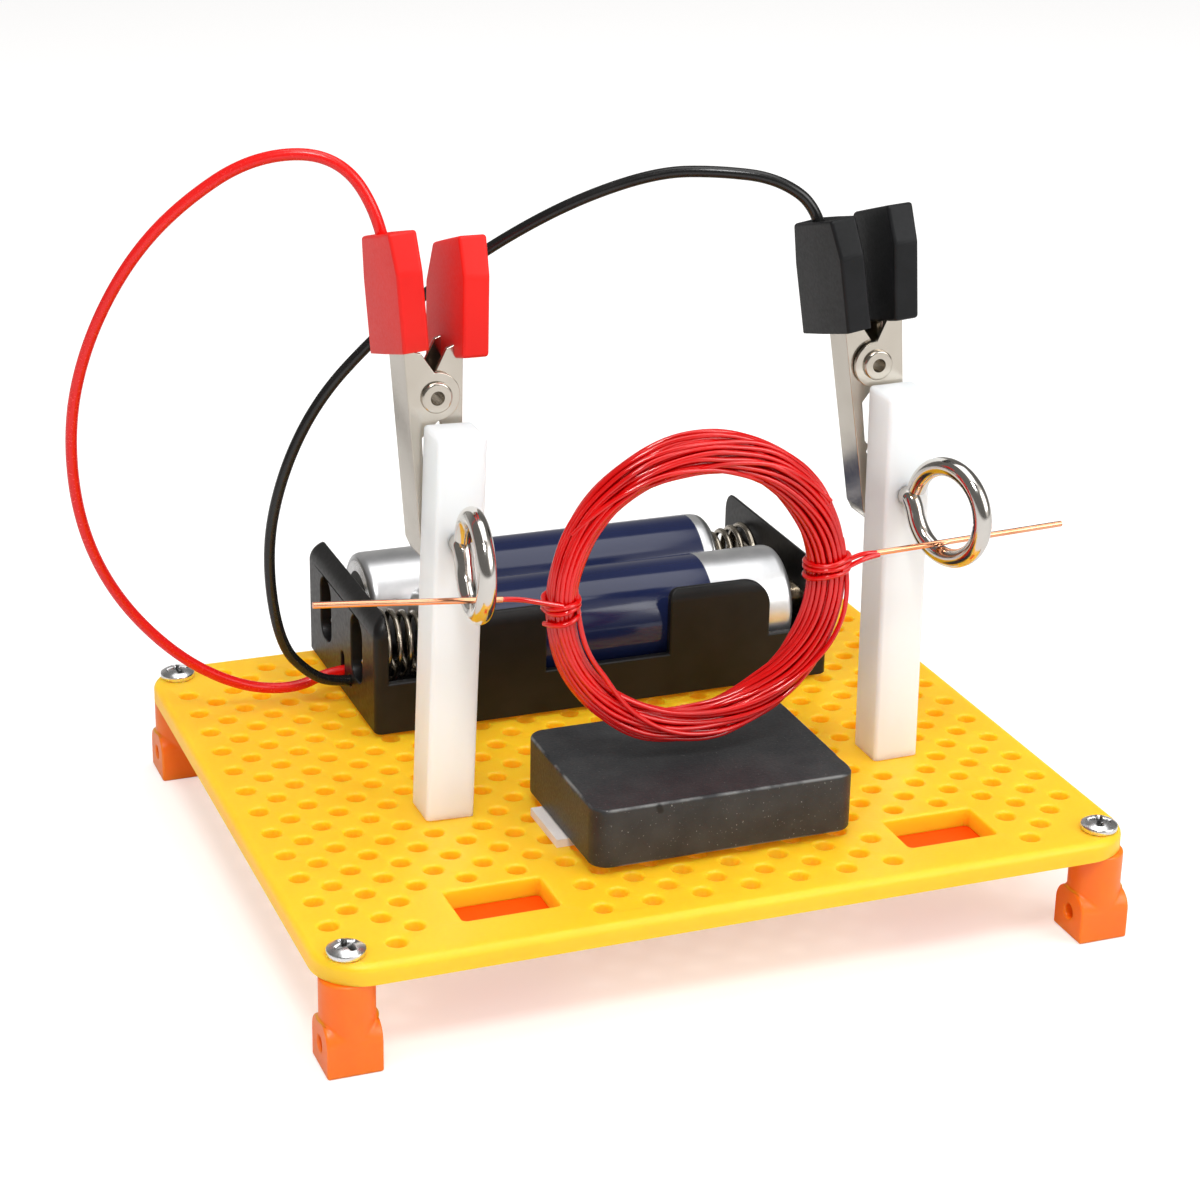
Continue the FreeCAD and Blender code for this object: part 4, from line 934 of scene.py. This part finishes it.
def screw_heads(builder):
    """The four heads that hold the board to its legs, each stopped at its own angle."""
    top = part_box("peg_board")[1].z / MM
    across, along = 46.4, 39.65
    corners = [(x, y) for y in (-along, along) for x in (-across, across)]
    angles = [0.35, 1.1, 0.1, 0.7]
    head = pan_head()
    data = seats(
        "leg_screw_seats",
        [(x, y, top) for x, y in corners],
        turn=[Vector((0, 0, a)) for a in angles],
    )
    item = builder.run("leg_screw_heads", data, "screw_steel", head=head)
    bpy.data.objects.remove(head)
    settle(item, "stand", "screw_steel", "leg_screws")


def legs():
    for end in ("front", "rear"):
        for side in SIDES:
            softened(f"leg_{end}_{side}", 0.3)
    for side in SIDES:
        softened(f"{side}_slot_cover", 0.15)


# ---------------- cells and holder


# Each cell's button in X, its way from there to the flat end, and its axis in Y.
CELLS = {"front": (31.75, -1, 20.4), "rear": (-24.15, 1, 34.6)}
CELL_AXIS_Z = 22.55


def cell_wrap(name, tip_x, way, y):
    """Shrink film that curls over both ends of a cell; way points from the button along X."""
    outside = [
        (1.22, 5.7), (1.18, 6.15), (1.27, 6.5), (1.5, 6.78), (1.9, 6.95), (2.4, 7.0),
        (12.3, 7.0), (12.4, 6.985), (12.5, 7.0), (25.0, 7.0), (48.1, 7.0), (48.2, 6.985),
        (48.3, 7.0), (49.3, 6.97), (49.9, 6.82), (50.3, 6.5), (50.42, 6.1), (50.4, 5.8),
    ]
    inside = [(50.3, 5.8), (50.2, 6.4), (49.6, 6.86), (25.0, 6.87)]
    inside += [(2.0, 6.87), (1.4, 6.5), (1.3, 5.75)]
    start = Vector((tip_x, y, CELL_AXIS_Z))
    mesh = turned(f"{name}_wrap", outside + inside, start, Vector((way, 0, 0)), 96)
    band = mesh.attributes.new("silver_band", "FLOAT", "POINT")
    ring = mesh.attributes.new("end_ring", "FLOAT", "POINT")
    for index, vertex in enumerate(mesh.vertices):
        reach = abs(vertex.co.x / MM - tip_x)
        band.data[index].value = 1.0 if reach < 12.45 or reach > 48.25 else 0.0
        ring.data[index].value = 1.0 if reach > 49.85 else 0.0
    item = show(f"{name}_wrap", mesh)
    settle(item, name, "cell_wrap", f"{name}_label")


def cell_springs(builder):
    """The two conical springs that press on the cells' flat ends."""
    sizes = {"wire_radius": 0.38 * MM, "base_radius": 4.7 * MM, "tip_radius": 3.7 * MM}
    sizes["turns"] = 3.6
    seat_gap = 0.4
    for end, way in (("front", 1), ("rear", -1)):
        node = f"{end}_cell_spring"
        low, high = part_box(node)
        x = low.x / MM + seat_gap if way > 0 else high.x / MM - seat_gap
        sizes["height"] = high.x - low.x - 2 * seat_gap * MM
        data = seats(
            f"{node}_seat",
            [(x, CELLS[end][2], CELL_AXIS_Z)],
            turn=[Vector((0, way * math.pi / 2, 0))],
        )
        item = builder.run(f"{end}_cell_spring_wire", data, "contact_steel", **sizes)
        settle(item, "stand", "contact_steel", node)


def solder_lumps():
    """Uneven beads of tin on the contacts behind the holder's end windows."""
    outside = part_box("solder_joints")[1].x / MM
    shape = bmesh.new()
    for *_, y in CELLS.values():
        for dz, size in ((2.1, 0.7), (0.1, 0.85), (-1.9, 0.95)):
            made = bmesh.ops.create_icosphere(shape, subdivisions=3, radius=size * MM)
            for vertex in made["verts"]:
                bulge = 1 + 0.25 * noise.noise(vertex.co / MM * 1.3 + Vector((y, dz, 0)))
                vertex.co = vertex.co * bulge
                vertex.co.x *= 0.7
                vertex.co += Vector((outside - 0.35, y, CELL_AXIS_Z + dz)) * MM
    item = show("solder_lumps", mesh_from("solder_lumps", shape))
    settle(item, "stand", "solder", "solder_joints")


def power_supply(spring):
    softened("cell_holder", 0.22, segments=3)
    for end, (tip_x, way, y) in CELLS.items():
        cell_wrap(f"{end}_cell", tip_x, way, y)
    cell_springs(spring)
    solder_lumps()


# ---------------- posts, eyes, rotor


EYES = {
    "left": {
        "centre": (-25.25, -20.17, 48.53), "hole_x": -24.68, "post_front": -12.45, "yaw": -5.0
    },
    "right": {"centre": (33.43, -21.19, 48.53), "hole_x": 31.5, "post_front": -14.1, "yaw": 18.0},
}


def screw_eye(side, wire):
    """A polished eye whose shank bends into the ring, with the ring's end left open."""
    eye = EYES[side]
    centre = Vector(eye["centre"])
    yaw = math.radians(eye["yaw"])
    out = Vector((math.sin(yaw), -math.cos(yaw), 0))
    up = Vector((0, 0, 1))
    ring, thickness = 5.6, 1.13
    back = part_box(f"{side}_screw_eye")[1].y / MM
    front = eye["post_front"]
    shank = [(eye["hole_x"], y, centre.z) for y in (back, back - 4, front + 2.5, front - 0.6)]
    shank.append(tuple(centre - out * (ring + 0.7) + up * 0.15))
    turns = [math.radians(degree) for degree in range(10, 347, 12)]
    loop = [tuple(centre - (out * math.cos(a) + up * math.sin(a)) * ring) for a in turns]
    curve = path(f"{side}_eye_line", shank + loop)
    item = wire.run(f"{side}_eye_wire", curve, "eye_steel", wire_radius=thickness * MM, sides=24)
    settle(item, "stand", "eye_steel", f"{side}_screw_eye")


WIRE = 0.3
COIL_REACH = (18.35, 18.85)
BUNDLE = {
    "bundle_width": 1.86,
    "wider_right": 0.33,
    "wider_top": 0.10,
    "wider_sides": -0.14,
    "bundle_depth": 1.85,
}


def turn_places():
    """Each turn's place in the bundle's section: one in the middle and three rings round it."""
    places = [Vector((0, 0, 0))]
    for count, reach, start in ((6, 0.34, 0.2), (12, 0.67, 0.0), (19, 1.0, 0.1)):
        for number in range(count):
            angle = start + 2 * math.pi * number / count
            places.append(Vector((reach * math.cos(angle), reach * math.sin(angle), 0)))
    return places


def coil(builder, wire):
    """Some forty turns of enamelled wire, with a few that stray across the bundle."""
    places = turn_places()
    data = seats(
        "turn_places",
        [(0, 0, 0)] * len(places),
        place=places,
        turn=[float(number) for number in range(len(places))],
    )
    item = builder.run(
        "coil_turns",
        data,
        "enamelled_wire",
        half_length=COIL_REACH[0] * MM,
        half_height=COIL_REACH[1] * MM,
        middle=Vector(COIL_MIDDLE) * MM,
        twist=0.5,
        slack=1.9 * MM,
        wire_radius=WIRE * MM,
        **{name: size * MM for name, size in BUNDLE.items()},
    )
    settle(item, "coil", "enamelled_wire", "coil_winding")
    stray_turns(wire)


# Each spot is an angle round the coil and a place in the section: outward, then sideways with
# the front at -1.
STRAYS = [
    [
        (14, 0.9, -0.5), (2, 1.0, -0.7), (-8, 1.12, -0.9), (-18, 1.12, -1.0),
        (-30, 0.85, -1.15), (-50, 0.1, -1.25), (-70, -0.55, -1.25), (-95, -1.0, -1.15),
        (-115, -1.05, -0.9), (-135, -0.95, -0.5),
    ],
    [
        (172, -0.9, -0.5), (188, -1.0, -1.0), (202, -1.15, -1.15), (212, -1.45, -1.1),
        (219, -1.3, -1.15), (232, -0.7, -1.25), (250, 0.0, -1.3), (270, 0.5, -1.25),
        (290, 0.85, -1.0), (310, 0.9, -0.5),
    ],
    [
        (152, 0.9, -0.5), (140, 0.7, -1.1), (120, 0.1, -1.3), (100, -0.4, -1.3),
        (80, -0.7, -1.1), (60, -0.9, -0.5),
    ],
    [(118, -0.8, -0.6), (100, -0.6, -1.1), (75, 0.2, -1.25), (50, 0.8, -1.1), (30, 0.95, -0.6)],
    [
        (170, 0.9, 0.1), (150, 1.08, -0.2), (120, 1.16, -0.3), (95, 1.16, -0.3),
        (70, 1.08, -0.2), (45, 0.95, 0.1),
    ],
    [(200, 0.4, 0.6), (150, -0.4, 1.25), (100, 0.4, 1.3), (60, 0.9, 0.9), (30, 0.5, 0.3)],
]


def on_bundle(degree, outward, sideways):
    """A point of the bundle, by its angle round the coil and its place in the section."""
    angle = math.radians(degree)
    cosine, sine = math.cos(angle), math.sin(angle)
    spread = BUNDLE["bundle_width"] + BUNDLE["wider_right"] * cosine + BUNDLE["wider_top"] * sine
    spread += BUNDLE["wider_sides"] * math.cos(2 * angle)
    inward = (1 - outward) * spread
    return (
        COIL_MIDDLE[0] + (COIL_REACH[0] - inward) * cosine,
        COIL_MIDDLE[1] + sideways * BUNDLE["bundle_depth"],
        COIL_MIDDLE[2] + (COIL_REACH[1] - inward) * sine,
    )


def stray_turns(wire):
    lines_along = [[on_bundle(*spot) for spot in line] for line in STRAYS]
    curve = path("stray_lines", *lines_along)
    item = wire.run("stray_turns", curve, "enamelled_wire", wire_radius=WIRE * MM, sides=10)
    settle(item, "coil", "enamelled_wire")


def binding_line(side, turns, start, pitch):
    """The wire's way round the bundle, a little uneven and slanted up to the right."""
    degree = 0 if side == "right" else 180
    middle_x = on_bundle(degree, 0, 0)[0]
    half_width = abs(on_bundle(degree, 1, 0)[0] - middle_x) + 2 * WIRE
    half_depth = BUNDLE["bundle_depth"] + 2 * WIRE
    points = []
    for step in range(int(turns * 12) + 1):
        angle = 2 * math.pi * step / 12 + math.radians(degree)
        cosine, sine = math.cos(angle), math.sin(angle)
        squareness = 1 / max(abs(cosine), abs(sine)) ** 0.35
        reach = squareness * (1 + 0.03 * math.sin(3.1 * step))
        sag = max(0.0, 1 - step / 12)
        height = start + pitch * step / 12 + 0.28 * cosine + 0.10 * math.sin(1.7 * step) - sag
        across, forth = half_width * cosine * reach, half_depth * sine * reach
        points.append((middle_x + across, AXLE_Y + forth, height))
    return points


def bindings_and_axle(wire):
    """Each side's binding with the run that leaves it, then the bare ends that turn in the eyes."""
    enamel = {"wire_radius": WIRE * MM, "sides": 12}

    def beside_axle(*points):
        """Points with their Y measured from the axle."""
        return [(x, AXLE_Y + y, z) for x, y, z in points]

    left = binding_line("left", 3.0, 42.0, 0.58)
    left_run = beside_axle(
        (-15.6, -2.2, 43.45), (-17.6, -1.3, 43.75), (-19.4, -0.3, 44.0), (-20.8, 0, 44.17),
        (-22.3, 0, 44.32),
    )
    right = binding_line("right", 3.0, 42.9, 0.58)
    upper = beside_axle(
        (18.6, -2.3, 44.6), (20.4, -1.5, 44.6), (21.8, -0.5, 44.55), (23.2, 0, 44.45),
        (24.8, 0, 44.33),
    )
    lower = beside_axle(
        (18.8, -2.4, 43.7), (20.6, -1.5, 43.8), (22.0, -0.8, 43.95), (23.4, -0.5, 44.1),
        (24.7, -0.35, 44.2),
    )
    for side, lines_along in (("left", [left, left_run]), ("right", [right, upper, lower])):
        curve = path(f"{side}_binding_line", *lines_along)
        item = wire.run(f"{side}_binding_wire", curve, "enamelled_wire", **enamel)
        settle(item, "coil", "enamelled_wire", f"{side}_binding")
    bare = {
        "left": [(-22.2, 44.31), (-27.0, 44.79), (-33.0, 45.32), (-39.0, 45.94), (-44.15, 46.38)],
        "right": [(24.5, 44.31), (30.0, 44.47), (37.0, 44.75), (43.5, 44.93), (49.25, 45.15)],
    }
    for side, line in bare.items():
        curve = path(f"{side}_bare_line", [(x, AXLE_Y, z) for x, z in line])
        item = wire.run(f"{side}_bare_wire", curve, "bare_copper", wire_radius=0.36 * MM, sides=16)
        settle(item, "coil", "bare_copper", f"{side}_axle_wire")


# ---------------- magnet and clips


def magnet():
    """The ferrite block with slightly chipped edges, marked near every edge for pale paint that is
    partly wear and partly a painted highlight.
    """
    shape = merged_copy("magnet")
    long_edges = [e for e in shape.edges if e.calc_length() > 1.5 * MM]
    bmesh.ops.subdivide_edges(shape, edges=long_edges, cuts=14, use_grid_fill=True)
    bmesh.ops.triangulate(shape, faces=shape.faces)
    low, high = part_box("magnet")
    middle = (low + high) / 2
    wear_and_highlight_reach, chip_depth = 0.35, 0.8
    # Each point near an edge is marked for the pale paint, which is partly wear and partly a
    # painted highlight.
    layer = shape.verts.layers.float.new("wear_and_highlight_edge")
    for vertex in shape.verts:
        depth = sorted(min(c - a, b - c) for a, b, c in zip(low, high, vertex.co))
        near = max(0.0, 1 - depth[1] / (wear_and_highlight_reach * MM))
        chip = max(0.0, noise.noise(vertex.co / MM * 0.9) - 0.3)
        vertex.co += (middle - vertex.co).normalized() * chip * near * chip_depth * MM
        vertex[layer] = near
    item = show("magnet_block", mesh_from("magnet_block", shape))
    even_normals(item)
    settle(item, "stand", "ferrite", "magnet")


def sleeve(colour, part):
    """A moulded grip: its node's outside, rounded, hollow from below and, for a lead, on top."""
    node_name = f"{colour}_clip_{part}"
    shape = bmesh.new()
    for vertex in nodes[node_name].data.vertices:
        shape.verts.new(vertex.co)
    bmesh.ops.remove_doubles(shape, verts=shape.verts, dist=0.001 * MM)
    hull = bmesh.ops.convex_hull(shape, input=shape.verts)
    inside = set(hull["geom_interior"] + hull["geom_unused"])
    bmesh.ops.delete(shape, geom=list(inside), context="VERTS")
    bmesh.ops.dissolve_limit(
        shape, angle_limit=math.radians(2), verts=shape.verts, edges=shape.edges
    )
    shape.normal_update()

    # Each pocket opens down or up and has a wall's thickness and a depth.
    pockets = [(-1, 0.8, 7.0)] + ([(1, 1.0, 1.2)] if part == "lead_sleeve" else [])
    for way, wall, depth in pockets:
        ends = [face for face in shape.faces if face.normal.z * way > 0.7]
        end = max(ends, key=lambda face: face.calc_center_median().z * way)
        bmesh.ops.inset_region(shape, faces=[end], thickness=wall * MM, use_even_offset=True)
        middle = end.calc_center_median()
        for vertex in end.verts:
            vertex.co = middle.lerp(vertex.co, 0.9) - Vector((0, 0, way * depth * MM))
    round_edges(shape, 14, 0.4, 4, clamped=True)
    bmesh.ops.recalc_face_normals(shape, faces=shape.faces)
    name = f"{node_name}_grip"
    item = show(name, mesh_from(name, shape))
    even_normals(item)
    settle(item, body_of(node_name), SLOTS[node_name], node_name)


def clips():
    for colour in CLIPS:
        for part in ("fixed_jaw", "moving_jaw"):
            softened(f"{colour}_clip_{part}", 0.1, segments=2, sharp=35)
        for part in ("lead_sleeve", "free_sleeve"):
            sleeve(colour, part)


# ---------------- studio


def studio():
    """A white floor under a white sky, three large soft lamps and a small hard one."""
    shape = bmesh.new()
    bmesh.ops.create_grid(shape, x_segments=1, y_segments=1, size=3.0)
    floor = show("studio_floor", mesh_from("studio_floor", shape))
    floor.location.z = -0.00002
    material = bpy.data.materials.new("studio_floor")
    material.use_nodes = True
    tree = material.node_tree
    shader = tree.nodes["Principled BSDF"]
    shader.inputs["Base Color"].default_value = (0.72, 0.71, 0.70, 1)
    shader.inputs["Roughness"].default_value = 0.9
    shader.inputs["Specular IOR Level"].default_value = 0.1
    shader.inputs["Emission Color"].default_value = (1, 1, 1, 1)
    ray = add(tree, "ShaderNodeLightPath")
    seen = calc(tree, "MULTIPLY", ray.outputs["Is Camera Ray"], 0.42)
    tree.links.new(seen, shader.inputs["Emission Strength"])
    floor.data.materials.append(material)

    # Seen in gloss, the white sweep is behind and a soft card at the front right; the rest is
    # the dark of the room.
    world = bpy.data.worlds.new("studio")
    bpy.context.scene.world = world
    world.use_nodes = True
    tree = world.node_tree
    background = tree.nodes["Background"]
    ray = add(tree, "ShaderNodeLightPath")
    seen = calc(tree, "MAXIMUM", ray.outputs["Is Camera Ray"], ray.outputs["Is Transmission Ray"])
    where = add(tree, "ShaderNodeTexCoord").outputs["Generated"]
    way = add(tree, "ShaderNodeSeparateXYZ", {0: where})
    behind = calc(tree, "MULTIPLY", fade(tree, way.outputs[1], 0.55, 0.95), 0.35)
    aims = {0: where, 1: (0.62, -0.62, 0.48)}
    card = add(tree, "ShaderNodeVectorMath", aims, operation="DOT_PRODUCT")
    soft = calc(tree, "MULTIPLY", fade(tree, card.outputs["Value"], 0.80, 0.96), 1.1)
    level = calc(tree, "MAXIMUM", calc(tree, "MAXIMUM", behind, soft), 0.16)
    room = blend_colours(tree, level, (0, 0, 0), (1.0, 0.97, 0.93))
    shown = blend_colours(tree, ray.outputs["Is Glossy Ray"], (0.48, 0.48, 0.48), room)
    shown = blend_colours(tree, seen, shown, (1.0, 1.0, 1.0))
    tree.links.new(shown, background.inputs["Color"])

    for name, place, size, watts, glossy in (
        ("top_lamp", (0.10, 0.00, 0.75), 0.6, 2.3, True),
        ("left_lamp", (-0.65, -0.35, 0.45), 0.5, 0.9, False),
        ("right_lamp", (0.55, -0.60, 0.45), 0.5, 2.9, True),
        ("hard_lamp", (-0.16, -0.42, 0.66), 0.16, 2.4, True),
    ):
        lamp = bpy.data.lights.new(name, "AREA")
        lamp.size = size
        lamp.energy = watts
        item = show(name, lamp)
        item.visible_glossy = glossy
        item.location = place
        aim = Vector((0, 0, 0.03)) - Vector(place)
        item.rotation_euler = aim.to_track_quat("-Z", "Y").to_euler()
    bpy.context.scene.view_settings.view_transform = "Standard"


# ---------------- the whole motor

dress_nodes()
photo_camera()
for colour in CLIPS:
    lay_lead(colour)
wire_maker = wire_builder()
spring_maker = spring_builder()
peg_board()
legs()
screw_heads(head_builder())
power_supply(spring_maker)
for side in SIDES:
    screw_eye(side, wire_maker)
coil(coil_builder(), wire_maker)
bindings_and_axle(wire_maker)
magnet()
clips()
studio()

bpy.context.view_layer.update()
